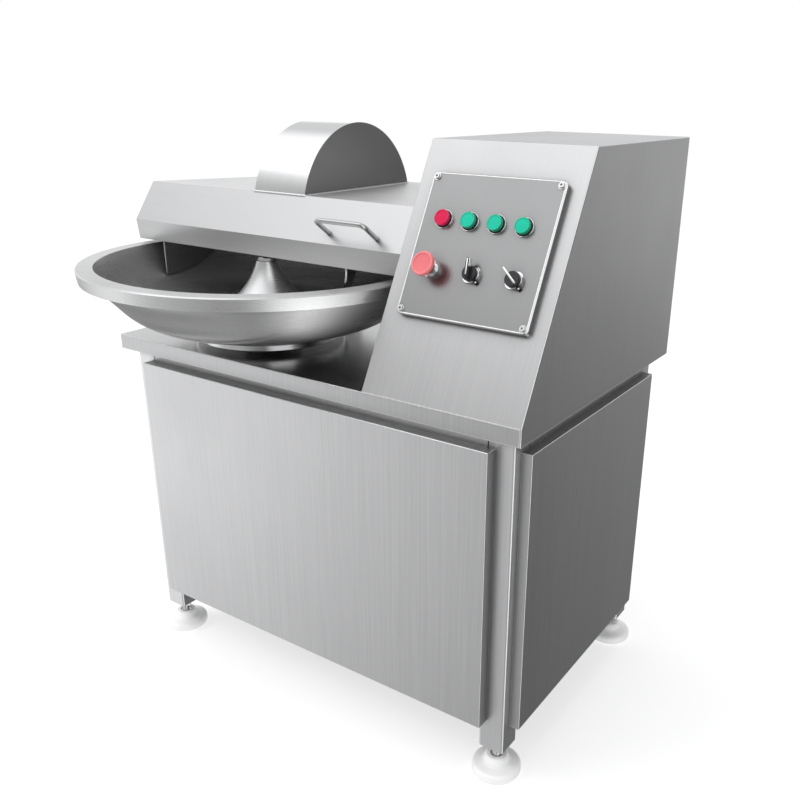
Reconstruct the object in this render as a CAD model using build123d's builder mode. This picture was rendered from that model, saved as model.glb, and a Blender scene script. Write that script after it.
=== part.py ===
"""Meat bowl cutter: floor-standing machine with a turning bowl, a three-knife
horizontal shaft, a hinged lid with an arched knife cover, a head housing that
carries the controls, and a square-tube cabinet on levelling feet.

Frame: millimetres, +Z up, +X to the control side, -Y to the operator.
Origin on the floor, in the middle of the overall box.
"""

import os
from math import cos, radians, sin, sqrt

from build123d import *

os.makedirs("parts", exist_ok=True)

# ---------------------------------------------------------------- dimensions
# worktop (a folded cap)
CAP_X0, CAP_X1 = -435.0, 515.0
CAP_Y0, CAP_Y1 = -223.0, 411.0
CAP_Z0, CAP_Z1 = 662.0, 692.0
SHEET = 3.0

# posts, 50 mm square tube
POST = 50.0
POST_WALL = 3.0
POST_X = (-363.0, 478.0)
POST_Y = (-192.0, 322.0)
POST_Z0, POST_Z1 = 62.0, 662.0

# panels
PANEL_Z0, PANEL_Z1 = 121.0, 649.0
PANEL_T = 25.0
FRONT_X0, FRONT_X1 = -346.5, 467.5
RIGHT_Y0, RIGHT_Y1 = -195.5, 315.0
RIGHT_Z0, RIGHT_Z1 = 110.5, 643.0
RIGHT_T = 19.5

# head housing
HEAD_X0, HEAD_X1 = 204.0, 515.0
HEAD_Z1 = 1095.0
HEAD_YT = -11.5  # front edge of the head's top

# bowl
BOWL_X, BOWL_Y = -168.7, -53.1
RIM_Z = 853.0
RIM_R = 358.0
RIM_IN = 326.0
CH_R, CH_Z, CH_RAD = 173.0, 895.0, 158.6  # channel arc: centre radius, height, radius

# knife shaft
KY, KZ = 120.0, 895.0
KNIFE_R = 155.0
SHAFT_R = 20.0
RUN = 0.05  # radial running clearance

# lid
LID_X0, LID_X1 = -527.8, 195.0
LID_Z0, LID_Z1 = 861.7, 978.6
LID_YB = 337.0
LIP = ((-75.2, 861.7), (-80.0, 902.9), (-24.4, 978.6))
ARCH_X0, ARCH_X1 = -219.4, -86.4
ARCH_Y, ARCH_Z, ARCH_R = 145.5, 934.6, 175.0
HINGE_Y, HINGE_Z = 368.0, 905.0
HINGE_X = (-310.0, 110.0)

# drives
MOTOR_Z = 310.0
BELT_X = (415.0, 435.0)
GEAR_X, GEAR_Y = BOWL_X, 165.0
BOWL_PULLEY_Z = 520.0

# sloped control face: local x along X, local y up the slope, local z outwards
slope_len = sqrt((HEAD_YT - CAP_Y0) ** 2 + (HEAD_Z1 - CAP_Z1) ** 2)
sl_y = (HEAD_YT - CAP_Y0) / slope_len
sl_z = (HEAD_Z1 - CAP_Z1) / slope_len
slope = Plane(origin=(0, CAP_Y0, CAP_Z1), x_dir=(1, 0, 0), z_dir=(0, -sl_z, sl_y))
PLATE_X0, PLATE_X1, PLATE_S0, PLATE_S1, PLATE_H = 237.0, 487.0, 142.0, 392.0, 12.0
BTN_X = (282.0, 332.5, 383.0, 433.5)
BTN_S = 310.5
ESTOP = (284.5, 224.0)
SEL = ((363.0, 224.0), (441.5, 224.0))
CONTROL_HOLES = [(x, BTN_S) for x in BTN_X] + [ESTOP] + list(SEL)
HOLE_R = 11.2


def save(part, name):
    part.label = name
    export_step(part, f"parts/{name}.step")


# ------------------------------------------------------------------ the frame
with BuildPart() as frame_posts:
    for px in POST_X:
        for py in POST_Y:
            with BuildSketch(Plane.XY.offset(POST_Z0)):
                with Locations((px, py)):
                    RectangleRounded(POST, POST, 4)
                    RectangleRounded(POST - 2 * POST_WALL, POST - 2 * POST_WALL, 2, mode=Mode.SUBTRACT)
            extrude(amount=POST_Z1 - POST_Z0)
            with BuildSketch(Plane.XY.offset(POST_Z0)):
                with Locations((px, py)):
                    RectangleRounded(POST - 2 * POST_WALL + 0.5, POST - 2 * POST_WALL + 0.5, 2)
                    Circle(8.4, mode=Mode.SUBTRACT)
            extrude(amount=8)
save(frame_posts.part, "frame_posts")

B0, B1 = 125.0, 155.0  # bottom rails
CROSS_X = (-230.0, -110.0, 100.0, 300.0)
px0, px1 = POST_X[0] - POST / 2, POST_X[1] + POST / 2
py0, py1 = POST_Y[0] - POST / 2, POST_Y[1] + POST / 2
rail_boxes = [
    # bottom ring, between the posts
    (px0 + POST, px1 - POST, py0, py0 + 30, B0, B1),
    (px0 + POST, px1 - POST, py1 - 32.5, py1 - 2.5, B0, B1),
    (px0 + 2.5, px0 + 32.5, py0 + POST, py1 - POST, B0, B1),
    (px1 - 30, px1, py0 + POST, py1 - POST, B0, B1),
    # upper ring, between the posts
    (px0 + POST, px1 - POST, py0, py0 + 30, POST_Z1 - 40, POST_Z1),
    (px0 + POST, px1 - POST, py1 - 32.5, py1 - 2.5, POST_Z1 - 40, POST_Z1),
    (px0 + 2.5, px0 + 32.5, py0 + POST, py1 - POST, POST_Z1 - 40, POST_Z1),
    (px1 - 30, px1, py0 + POST, py1 - POST, POST_Z1 - 40, POST_Z1),
    # top ring, under the worktop and inside its skirt
    (CAP_X0 + 3.2, CAP_X1 - 3.2, CAP_Y0 + 3.2, CAP_Y0 + 3.2 + 30, CAP_Z0, CAP_Z1 - SHEET),
    (CAP_X0 + 3.2, CAP_X1 - 3.2, CAP_Y1 - 33.2, CAP_Y1 - 3.2, CAP_Z0, CAP_Z1 - SHEET),
    (CAP_X0 + 3.2, CAP_X0 + 33.2, CAP_Y0 + 33.2, CAP_Y1 - 33.2, CAP_Z0, CAP_Z1 - SHEET),
    (CAP_X1 - 33.2, CAP_X1 - 3.2, CAP_Y0 + 33.2, CAP_Y1 - 33.2, CAP_Z0, CAP_Z1 - SHEET),
]
with BuildPart() as frame_rails:
    for x0, x1, y0, y1, z0, z1 in rail_boxes:
        lx, ly, lz = x1 - x0, y1 - y0, z1 - z0
        with Locations(((x0 + x1) / 2, (y0 + y1) / 2, (z0 + z1) / 2)):
            Box(lx, ly, lz)
            if lx > ly:
                Box(lx, ly - 5, lz - 5, mode=Mode.SUBTRACT)
            else:
                Box(lx - 5, ly, lz - 5, mode=Mode.SUBTRACT)
    # cross members that carry the two drives, welded on the bottom rails
    for cx in CROSS_X:
        with Locations((cx, (py0 + py1 - 2.5) / 2, B1 + 15)):
            Box(40, py1 - py0 - 2.5, 30)
            Box(35, py1 - py0 - 2.5, 25, mode=Mode.SUBTRACT)
save(frame_rails.part, "frame_rails")

# worktop: sheet with folded skirt, hole for the bowl spindle, belt opening
with BuildPart() as worktop:
    with BuildSketch(Plane.XY.offset(CAP_Z0)):
        with Locations(((CAP_X0 + CAP_X1) / 2, (CAP_Y0 + CAP_Y1) / 2)):
            RectangleRounded(CAP_X1 - CAP_X0, CAP_Y1 - CAP_Y0, 3)
    extrude(amount=CAP_Z1 - CAP_Z0)
    fillet(worktop.faces().sort_by(Axis.Z)[-1].edges(), 1.8)
    with BuildSketch(Plane.XY.offset(CAP_Z0)):
        with Locations(((CAP_X0 + CAP_X1) / 2, (CAP_Y0 + CAP_Y1) / 2)):
            Rectangle(CAP_X1 - CAP_X0 - 2 * SHEET, CAP_Y1 - CAP_Y0 - 2 * SHEET)
    extrude(amount=CAP_Z1 - CAP_Z0 - SHEET, mode=Mode.SUBTRACT)
    with BuildSketch(Plane.XY.offset(CAP_Z0)):
        with Locations((BOWL_X, BOWL_Y)):
            Circle(60)
        with Locations((425, 120)):
            RectangleRounded(80, 200, 8)
        # the right edge is left to the head's side sheet
        with Locations((CAP_X1 - SHEET / 2 + 2, (CAP_Y0 + CAP_Y1) / 2)):
            Rectangle(SHEET + 4, CAP_Y1 - CAP_Y0 + 10)
    extrude(amount=40, mode=Mode.SUBTRACT)
save(worktop.part, "worktop")


pz = (PANEL_Z0 + PANEL_Z1) / 2
with BuildPart() as front_panel:
    with BuildSketch(Plane(origin=((FRONT_X0 + FRONT_X1) / 2, py0, pz), x_dir=(1, 0, 0), z_dir=(0, -1, 0))):
        Rectangle(FRONT_X1 - FRONT_X0, PANEL_Z1 - PANEL_Z0)
    extrude(amount=PANEL_T)
    fillet(front_panel.faces().sort_by(Axis.Y)[0].edges(), 1.4)
    with BuildSketch(Plane(origin=((FRONT_X0 + FRONT_X1) / 2, py0, pz), x_dir=(1, 0, 0), z_dir=(0, -1, 0))):
        Rectangle(FRONT_X1 - FRONT_X0 - 4, PANEL_Z1 - PANEL_Z0 - 4)
    extrude(amount=PANEL_T - 2, mode=Mode.SUBTRACT)
save(front_panel.part, "front_panel")

with BuildPart() as right_panel:
    with BuildSketch(Plane(origin=(px1, (RIGHT_Y0 + RIGHT_Y1) / 2, (RIGHT_Z0 + RIGHT_Z1) / 2), x_dir=(0, 1, 0), z_dir=(1, 0, 0))):
        Rectangle(RIGHT_Y1 - RIGHT_Y0, RIGHT_Z1 - RIGHT_Z0)
    extrude(amount=RIGHT_T)
    fillet(right_panel.faces().sort_by(Axis.X)[-1].edges(), 1.4)
    with BuildSketch(Plane(origin=(px1, (RIGHT_Y0 + RIGHT_Y1) / 2, (RIGHT_Z0 + RIGHT_Z1) / 2), x_dir=(0, 1, 0), z_dir=(1, 0, 0))):
        Rectangle(RIGHT_Y1 - RIGHT_Y0 - 4, RIGHT_Z1 - RIGHT_Z0 - 4)
    extrude(amount=RIGHT_T - 2, mode=Mode.SUBTRACT)
save(right_panel.part, "right_panel")

# left panel, flush between the left posts
with BuildPart() as left_panel:
    with BuildSketch(Plane(origin=(px0, (py0 + py1) / 2, (118 + 659) / 2), x_dir=(0, -1, 0), z_dir=(-1, 0, 0))):
        Rectangle(py1 - py0 - 2 * POST - 1, 659 - 118)
    extrude(amount=-2)
save(left_panel.part, "left_panel")

# rear panel, flush between the rear posts, with two blocks of louvre slots and the cable hole
GLAND_X, GLAND_Z = 380.0, 200.0
with BuildPart() as rear_panel:
    with BuildSketch(Plane(origin=((px0 + px1) / 2, py1, (118 + 659) / 2), x_dir=(-1, 0, 0), z_dir=(0, 1, 0))):
        Rectangle(px1 - px0 - 2 * POST - 1, 659 - 118)
        with GridLocations(330, 26, 2, 10):
            SlotOverall(220, 8, mode=Mode.SUBTRACT)
        with Locations(((px0 + px1) / 2 - GLAND_X, GLAND_Z - (118 + 659) / 2)):
            Circle(12.2, mode=Mode.SUBTRACT)
    extrude(amount=-2)
save(rear_panel.part, "rear_panel")

with BuildPart() as bottom_tray:
    with BuildSketch(Plane.XY.offset(B0 - 3)):
        with Locations(((px0 + px1) / 2, (py0 + py1) / 2)):
            Rectangle(px1 - px0 - 2 * POST - 1, py1 - py0 - 5)
    extrude(amount=3)
    with BuildSketch(Plane.XY.offset(B0 - 3)):
        with Locations(((px0 + px1) / 2, (py0 + py1) / 2)):
            with GridLocations(200, 160, 3, 2):
                SlotOverall(90, 10)
    extrude(amount=3, mode=Mode.SUBTRACT)
save(bottom_tray.part, "bottom_tray")

# --------------------------------------------------------------- levelling feet
FEET = [(x, y) for x in POST_X for y in POST_Y]
with BuildPart() as foot_pads:
    for fx, fy in FEET:
        with BuildSketch(Plane(origin=(fx, fy, 0), x_dir=(1, 0, 0), z_dir=(0, -1, 0))):
            with BuildLine():
                Polyline((0, 0), (41, 0), (44.2, 1.6), (45.6, 5), (45.6, 13), (44.4, 16.4), (41.5, 18.6), (28.5, 21.5), (24.5, 24), (21.5, 33), (18.5, 36), (12, 36))
                Line((12, 36), (12, 26))
                Line((12, 26), (0, 26))
                Line((0, 26), (0, 0))
            make_face()
        revolve(axis=Axis((fx, fy, 0), (0, 0, 1)))
save(foot_pads.part, "foot_pads")

with BuildPart() as foot_studs:
    for fx, fy in FEET:
        with BuildSketch(Plane.XY.offset(26)):
            with Locations((fx, fy)):
                Circle(11)
        extrude(amount=8)
        with BuildSketch(Plane.XY.offset(34)):
            with Locations((fx, fy)):
                Circle(8)
        extrude(amount=78)
save(foot_studs.part, "foot_studs")

with BuildPart() as foot_nuts:
    for fx, fy in FEET:
        with BuildSketch(Plane.XY.offset(49)):
            with Locations((fx, fy)):
                RegularPolygon(13.86, 6)
                Circle(8.0, mode=Mode.SUBTRACT)
        extrude(amount=13)
save(foot_nuts.part, "foot_nuts")

# ------------------------------------------------------------------ head housing
hw = HEAD_X1 - HEAD_X0
inner_dy = SHEET / sl_z
with BuildPart() as head_housing:
    with BuildSketch(Plane(origin=(HEAD_X0, 0, 0), x_dir=(0, 1, 0), z_dir=(1, 0, 0))):
        with BuildLine():
            Polyline((CAP_Y0, CAP_Z1), (HEAD_YT, HEAD_Z1), (CAP_Y1, HEAD_Z1), (CAP_Y1, CAP_Z1), close=True)
        make_face()
    extrude(amount=hw)
    fillet(head_housing.edges().filter_by(GeomType.LINE).filter_by(lambda e: e.center().Z > CAP_Z1 + 1 and e.center().Y < CAP_Y1 - 1), 2.2)
    with BuildSketch(Plane(origin=(HEAD_X0 + SHEET, 0, 0), x_dir=(0, 1, 0), z_dir=(1, 0, 0))):
        with BuildLine():
            yb = CAP_Y0 + inner_dy
            zt = HEAD_Z1 - SHEET
            yt = yb + (zt - CAP_Z1) * sl_y / sl_z
            Polyline((yb, CAP_Z1), (yt, zt), (CAP_Y1 + 1, zt), (CAP_Y1 + 1, CAP_Z1), close=True)
        make_face()
    extrude(amount=hw - 2 * SHEET, mode=Mode.SUBTRACT)
    # holes for the control devices
    with BuildSketch(slope.offset(-20)):
        with Locations(*CONTROL_HOLES):
            Circle(HOLE_R)
    extrude(amount=30, mode=Mode.SUBTRACT)
    # hole for the knife shaft housing, in the left wall
    with BuildSketch(Plane(origin=(HEAD_X0 - 5, KY, KZ), x_dir=(0, 1, 0), z_dir=(1, 0, 0))):
        Circle(36.3)
        with PolarLocations(49, 6):
            Circle(4.2)
    extrude(amount=15, mode=Mode.SUBTRACT)
    # the right side sheet runs on down to the foot of the worktop's skirt
    with BuildSketch(Plane.XY.offset(CAP_Z0)):
        with Locations((HEAD_X1 - SHEET / 2, (CAP_Y0 + CAP_Y1) / 2)):
            Rectangle(SHEET, CAP_Y1 - CAP_Y0)
    extrude(amount=CAP_Z1 - CAP_Z0 + 0.5)
    fillet(head_housing.edges().filter_by(Axis.Z).filter_by(lambda e: e.center().X > HEAD_X1 - 0.1 and e.center().Y < CAP_Y0 + 0.1 and e.center().Z < CAP_Z1 + 1), 2.0)
save(head_housing.part, "head_housing")

with BuildPart() as head_rear_cover:
    with BuildSketch(Plane(origin=((HEAD_X0 + HEAD_X1) / 2, CAP_Y1 - SHEET, (CAP_Z1 + HEAD_Z1 - SHEET) / 2), x_dir=(-1, 0, 0), z_dir=(0, 1, 0))):
        Rectangle(hw - 2 * SHEET - 1, HEAD_Z1 - CAP_Z1 - SHEET - 1)
        with Locations((0, 60)):
            with GridLocations(10, 22, 1, 8):
                SlotOverall(180, 7, mode=Mode.SUBTRACT)
    extrude(amount=SHEET)
save(head_rear_cover.part, "head_rear_cover")

# ------------------------------------------------------------- control plate
pcx, pcs = (PLATE_X0 + PLATE_X1) / 2, (PLATE_S0 + PLATE_S1) / 2
pw, ph = PLATE_X1 - PLATE_X0, PLATE_S1 - PLATE_S0
SCREWS = [(pcx + i * (pw / 2 - 9), pcs + j * (ph / 2 - 9)) for i in (-1, 1) for j in (-1, 1)]
with BuildPart() as control_plate:
    with BuildSketch(slope):
        with Locations((pcx, pcs)):
            RectangleRounded(pw, ph, 9)
    extrude(amount=PLATE_H)
    chamfer(control_plate.faces().sort_by(Axis(origin=(0, 0, 0), direction=(0, -sl_z, sl_y)))[-1].outer_wire().edges(), 1.6)
    with BuildSketch(slope):
        with Locations((pcx, pcs)):
            RectangleRounded(pw - 5, ph - 5, 6.5)
    extrude(amount=PLATE_H - 2.5, mode=Mode.SUBTRACT)
    with BuildSketch(slope):
        with Locations(*SCREWS):
            Circle(7)
    extrude(amount=PLATE_H - 2.5)
    with BuildSketch(slope):
        with Locations(*CONTROL_HOLES):
            Circle(HOLE_R)
        with Locations(*SCREWS):
            Circle(3.05)
    extrude(amount=PLATE_H + 2, mode=Mode.SUBTRACT)
save(control_plate.part, "control_plate")

with BuildPart() as control_plate_screws:
    with BuildSketch(slope):
        with Locations(*SCREWS):
            Circle(3.0)
    extrude(amount=PLATE_H)
    with BuildSketch(slope.offset(PLATE_H)):
        with Locations(*SCREWS):
            Circle(6.6)
    extrude(amount=1.1)
    with BuildSketch(slope.offset(PLATE_H + 1.1)):
        with Locations(*SCREWS):
            Circle(5.1)
    extrude(amount=3.0, taper=14)
    with BuildSketch(slope.offset(PLATE_H + 1.6)):
        with Locations(*SCREWS):
            RegularPolygon(2.3, 6)
    extrude(amount=5, mode=Mode.SUBTRACT)
save(control_plate_screws.part, "control_plate_screws")

# --------------------------------------------------- push-buttons and selectors
H = PLATE_H


btn_points = [(x, BTN_S) for x in BTN_X]
with BuildPart() as button_bezels:
    with BuildSketch(slope.offset(H)):
        with Locations(*btn_points):
            Circle(16.4)
            Circle(15.1, mode=Mode.SUBTRACT)
    extrude(amount=2.4)
    chamfer(button_bezels.faces().sort_by(Axis(origin=(0, 0, 0), direction=(0, -sl_z, sl_y)))[-4:].edges(), 0.4)
save(button_bezels.part, "button_bezels")

with BuildPart() as button_bodies:
    with BuildSketch(slope.offset(-26)):
        with Locations(*btn_points):
            Circle(11.0)
            Circle(9.3, mode=Mode.SUBTRACT)
    extrude(amount=26 + H)
    with BuildSketch(slope.offset(H)):
        with Locations(*btn_points):
            Circle(15.0)
            Circle(9.3, mode=Mode.SUBTRACT)
    extrude(amount=4.2)
    with BuildSketch(slope.offset(H + 0.3)):
        with Locations(*btn_points):
            Circle(13.8)
    extrude(amount=5, mode=Mode.SUBTRACT)
save(button_bodies.part, "button_bodies")

BUTTONS = ("red_button", "green_button_left", "green_button_middle", "green_button_right")
for bname, (bx, bs) in zip(BUTTONS, btn_points):
    with BuildPart() as button:
        with BuildSketch(slope.offset(-18)):
            with Locations((bx, bs)):
                Circle(9.0)
        extrude(amount=18 + H + 4)
        with BuildSketch(slope.offset(H + 3.6)):
            with Locations((bx, bs)):
                Circle(13.5)
        extrude(amount=7.6)
        fillet(button.faces().sort_by(Axis(origin=(0, 0, 0), direction=(0, -sl_z, sl_y)))[-1].edges(), 1.4)
        with BuildSketch(slope.offset(H + 3.6 + 7.6 - 0.6)):
            with Locations((bx, bs)):
                Circle(10.6)
        extrude(amount=2, mode=Mode.SUBTRACT)
    save(button.part, bname)

with BuildPart() as estop_collar:
    with BuildSketch(slope.offset(-26)):
        with Locations(ESTOP):
            Circle(11.0)
    extrude(amount=26 + H)
    with BuildSketch(slope.offset(H)):
        with Locations(ESTOP):
            Circle(14.6)
    extrude(amount=4.0)
    with BuildSketch(slope.offset(H + 4)):
        with Locations(ESTOP):
            Circle(11.6)
    extrude(amount=8.0)
    with BuildSketch(slope.offset(-26)):
        with Locations(ESTOP):
            Circle(8.3)
    extrude(amount=60, mode=Mode.SUBTRACT)
save(estop_collar.part, "estop_collar")

with BuildPart() as estop_stem:
    with BuildSketch(slope.offset(-16)):
        with Locations(ESTOP):
            Circle(8.0)
    extrude(amount=16 + H + 20)
    with BuildSketch(slope.offset(H + 20)):
        with Locations(ESTOP):
            Circle(5.0)
    extrude(amount=7)
save(estop_stem.part, "estop_stem")

estop_c = slope.from_local_coords((ESTOP[0], ESTOP[1], 0))
with BuildPart() as estop_mushroom:
    with BuildSketch(Plane(origin=estop_c, x_dir=(1, 0, 0), z_dir=slope.y_dir * -1)):
        # local x is along X, local y is along the outward normal of the sloped face
        with BuildLine():
            Polyline((0, H + 27.3), (5.05, H + 27.3), (5.05, H + 20.4), (12.0, H + 20.4), (13.5, H + 21.5), (17.5, H + 24.0), (20.0, H + 25.0), (20.5, H + 26.5), (20.5, H + 31.0), (19.6, H + 32.6), (17.6, H + 33.2), (16.0, H + 32.6), (0, H + 31.9), close=True)
        make_face()
    revolve(axis=Axis(origin=estop_c, direction=slope.z_dir))
save(estop_mushroom.part, "estop_mushroom")

with BuildPart() as selector_bezels:
    with BuildSketch(slope.offset(-26)):
        with Locations(*SEL):
            Circle(11.0)
    extrude(amount=26 + H)
    with BuildSketch(slope.offset(H)):
        with Locations(*SEL):
            RectangleRounded(29, 29, 10)
    extrude(amount=3.0)
    with BuildSketch(slope.offset(H + 3)):
        with Locations(*SEL):
            Circle(13.0)
    extrude(amount=2.0)
    with BuildSketch(slope.offset(-26)):
        with Locations(*SEL):
            Circle(8.3)
    extrude(amount=60, mode=Mode.SUBTRACT)
save(selector_bezels.part, "selector_bezels")

SEL_REST = (8.0, 50.0)  # rest angle of each lever, from straight up the slope
LEVERS = ((7.5, 33.0, 9.0), (4.2, 36.0, 3.6))  # width, length and height of each lever
for sname, (sx, ss), ang, (lw, ll, lh) in zip(("selector_left", "selector_right"), SEL, SEL_REST, LEVERS):
    with BuildPart() as selector:
        with BuildSketch(slope.offset(-16)):
            with Locations((sx, ss)):
                Circle(8.0)
        extrude(amount=16 + H + 6)
        with BuildSketch(slope.offset(H + 5.4)):
            with Locations((sx, ss)):
                Circle(13.0)
        extrude(amount=7.6)
        with BuildSketch(slope.offset(H + 13.0)):
            with Locations(Location((sx, ss, 0), (0, 0, 1), ang) * Location((0, 6.0, 0))):
                RectangleRounded(lw, ll, lw / 2 - 0.1)
        extrude(amount=lh)
        fillet(selector.faces().sort_by(Axis(origin=(0, 0, 0), direction=(0, -sl_z, sl_y)))[-1].edges(), 0.9)
    save(selector.part, sname)

with BuildPart() as contact_blocks:
    with BuildSketch(slope.offset(-62)):
        with Locations(*CONTROL_HOLES):
            Rectangle(30, 30)
    extrude(amount=35.8)
    with BuildSketch(slope.offset(-30)):
        with Locations(*CONTROL_HOLES):
            Circle(9.5)
    extrude(amount=6, mode=Mode.SUBTRACT)
save(contact_blocks.part, "contact_blocks")

# ------------------------------------------------------------------ the bowl
def channel_z(r):
    return CH_Z - sqrt(CH_RAD**2 - (r - CH_R) ** 2)


def under_z(r):
    return CH_Z - sqrt((CH_RAD + 8) ** 2 - (r - CH_R) ** 2)


hub_top_r = CH_R - sqrt(CH_RAD**2 - (CH_Z - 850.0) ** 2)
rim_in_r = CH_R + sqrt(CH_RAD**2 - (CH_Z - RIM_Z) ** 2)
bowl_plane = Plane(origin=(BOWL_X, BOWL_Y, 0), x_dir=(1, 0, 0), z_dir=(0, -1, 0))
bowl_axis = Axis((BOWL_X, BOWL_Y, 0), (0, 0, 1))
with BuildPart() as bowl:
    with BuildSketch(bowl_plane):
        with BuildLine():
            # knife-swept channel, from the hub's top to the rim
            ThreePointArc((hub_top_r, 850.0), (CH_R, CH_Z - CH_RAD), (rim_in_r, RIM_Z))
            Line((rim_in_r, RIM_Z), (RIM_R - 2, RIM_Z))
            Line((RIM_R - 2, RIM_Z), (RIM_R, RIM_Z - 2.5))
            Line((RIM_R, RIM_Z - 2.5), (RIM_R - 3, 829.0))
            Line((RIM_R - 3, 829.0), (RIM_R - 7, 829.0))
            Line((RIM_R - 7, 829.0), (RIM_R - 5, RIM_Z - 9))
            Line((RIM_R - 5, RIM_Z - 9), (337, RIM_Z - 9))
            # outside of the cast body, down to its flat seat
            Spline((337, RIM_Z - 9), (328, 822), (308, 800), (276, 765), (244, 743.5), (205, 730), (172, 722))
            # flat seat ring, then the underside of the channel up into the hub
            Line((172, 722), (158, 715))
            Line((158, 715), (126, 715))
            Line((126, 715), (126, under_z(126)))
            ThreePointArc((126, under_z(126)), (85, under_z(85)), (44, under_z(44)))
            Line((44, under_z(44)), (32, 812))
            Line((32, 812), (21.5, 812))
            Line((21.5, 812), (21.5, 836))
            Line((21.5, 836), (13.05, 836))
            Line((13.05, 836), (13.05, 850))
            Line((13.05, 850), (hub_top_r, 850))
        make_face()
    revolve(axis=bowl_axis)
save(bowl.part, "bowl")

# drive ring under the bowl, a spoked plate keyed to the spindle
with BuildPart() as bowl_drive_plate:
    with BuildSketch(bowl_plane):
        with BuildLine():
            Polyline((21.0, 702), (149, 702), (150.5, 703.5), (150.5, 713.5), (149, 715), (112, 715), (108, 713), (46, 713), (42, 737), (21.0, 737), close=True)
        make_face()
    revolve(axis=bowl_axis)
save(bowl_drive_plate.part, "bowl_drive_plate")

with BuildPart() as bowl_spindle:
    with BuildSketch(bowl_plane):
        with BuildLine():
            Polyline((0, 500), (19, 500), (20, 501), (20, 546), (21, 546), (21, 834), (20, 835.5), (13, 835.5), (13, 860), (12, 861), (0, 861), close=True)
        make_face()
    revolve(axis=bowl_axis)
save(bowl_spindle.part, "bowl_spindle")

with BuildPart() as hub_cap:
    with BuildSketch(bowl_plane):
        with BuildLine():
            Polyline((13.05, 850), (18, 850), (18.5, 850.5), (18.5, 856), (15.5, 861), (9, 865), (0, 866), (0, 861.5), (13.05, 861.5), close=True)
        make_face()
    revolve(axis=bowl_axis)
save(hub_cap.part, "hub_cap")

with BuildPart() as bowl_bearing_housing:
    with BuildSketch(bowl_plane):
        with BuildLine():
            Polyline((36, 556), (46, 556), (46, 677), (95, 677), (95, 689), (58, 689), (58, 695), (36, 695), close=True)
        make_face()
    revolve(axis=bowl_axis)
    with BuildSketch(Plane.XY.offset(670)):
        with Locations((BOWL_X, BOWL_Y)):
            with PolarLocations(78, 6):
                Circle(5.2)
    extrude(amount=30, mode=Mode.SUBTRACT)
save(bowl_bearing_housing.part, "bowl_bearing_housing")



def pulley_profile(r, width, grooves, bore, mid):
    """Half section (radius, along) of a V-belt pulley centred on `mid`."""
    pts = [(bore, mid - width / 2), (r + 4, mid - width / 2)]
    for g in grooves:
        pts += [(r + 4, g - 8.5), (r - 9, g - 5.6), (r - 9, g + 5.6), (r + 4, g + 8.5)]
    pts += [(r + 4, mid + width / 2), (bore, mid + width / 2)]
    return pts


BOWL_PR, GEAR_PR = 108.0, 44.0
with BuildPart() as bowl_pulley:
    with BuildSketch(bowl_plane):
        with BuildLine():
            Polyline(*pulley_profile(BOWL_PR, 26, (BOWL_PULLEY_Z,), 20.0, BOWL_PULLEY_Z), close=True)
        make_face()
    revolve(axis=bowl_axis)
    with BuildSketch(Plane.XY.offset(BOWL_PULLEY_Z - 20)):
        with Locations((BOWL_X, BOWL_Y)):
            with PolarLocations(62, 6):
                Circle(17)
    extrude(amount=40, mode=Mode.SUBTRACT)
save(bowl_pulley.part, "bowl_pulley")

gear_plane = Plane(origin=(GEAR_X, GEAR_Y, 0), x_dir=(1, 0, 0), z_dir=(0, -1, 0))
gear_axis = Axis((GEAR_X, GEAR_Y, 0), (0, 0, 1))
with BuildPart() as gearmotor_output:
    with BuildSketch(gear_plane):
        with BuildLine():
            Polyline(
                (0, 420), (14, 420), (14, BOWL_PULLEY_Z - 15), (22, BOWL_PULLEY_Z - 15), (22, BOWL_PULLEY_Z - 13),
                (GEAR_PR + 4, BOWL_PULLEY_Z - 13), (GEAR_PR + 4, BOWL_PULLEY_Z - 8.5), (GEAR_PR - 9, BOWL_PULLEY_Z - 5.6),
                (GEAR_PR - 9, BOWL_PULLEY_Z + 5.6), (GEAR_PR + 4, BOWL_PULLEY_Z + 8.5), (GEAR_PR + 4, BOWL_PULLEY_Z + 13),
                (14, BOWL_PULLEY_Z + 13), (13, BOWL_PULLEY_Z + 18), (0, BOWL_PULLEY_Z + 18), close=True)
        make_face()
    revolve(axis=gear_axis)
save(gearmotor_output.part, "gearmotor_output")

# worm gearmotor that turns the bowl
with BuildPart() as bowl_gearmotor:
    with BuildSketch(Plane.XY.offset(330)):
        with Locations((GEAR_X, GEAR_Y)):
            RectangleRounded(126, 126, 14)
    extrude(amount=150)
    fillet(bowl_gearmotor.edges().filter_by(GeomType.LINE, reverse=True).group_by(Axis.Z)[-1], 4)
    with BuildSketch(Plane(origin=(GEAR_X - 63, GEAR_Y, 405), x_dir=(0, 1, 0), z_dir=(-1, 0, 0))):
        Circle(70)
    extrude(amount=10)
    with BuildSketch(Plane(origin=(GEAR_X - 73, GEAR_Y, 405), x_dir=(0, 1, 0), z_dir=(-1, 0, 0))):
        Circle(60)
        with PolarLocations(62, 24):
            Rectangle(9, 2.2)
    extrude(amount=122)
    with BuildSketch(Plane.XY.offset(455)):
        with Locations((GEAR_X - 130, GEAR_Y)):
            Rectangle(66, 60)
    extrude(amount=34)
    with BuildSketch(Plane.XY.offset(410)):
        with Locations((GEAR_X, GEAR_Y)):
            Circle(14 + RUN)
    extrude(amount=90, mode=Mode.SUBTRACT)
save(bowl_gearmotor.part, "bowl_gearmotor")

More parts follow.
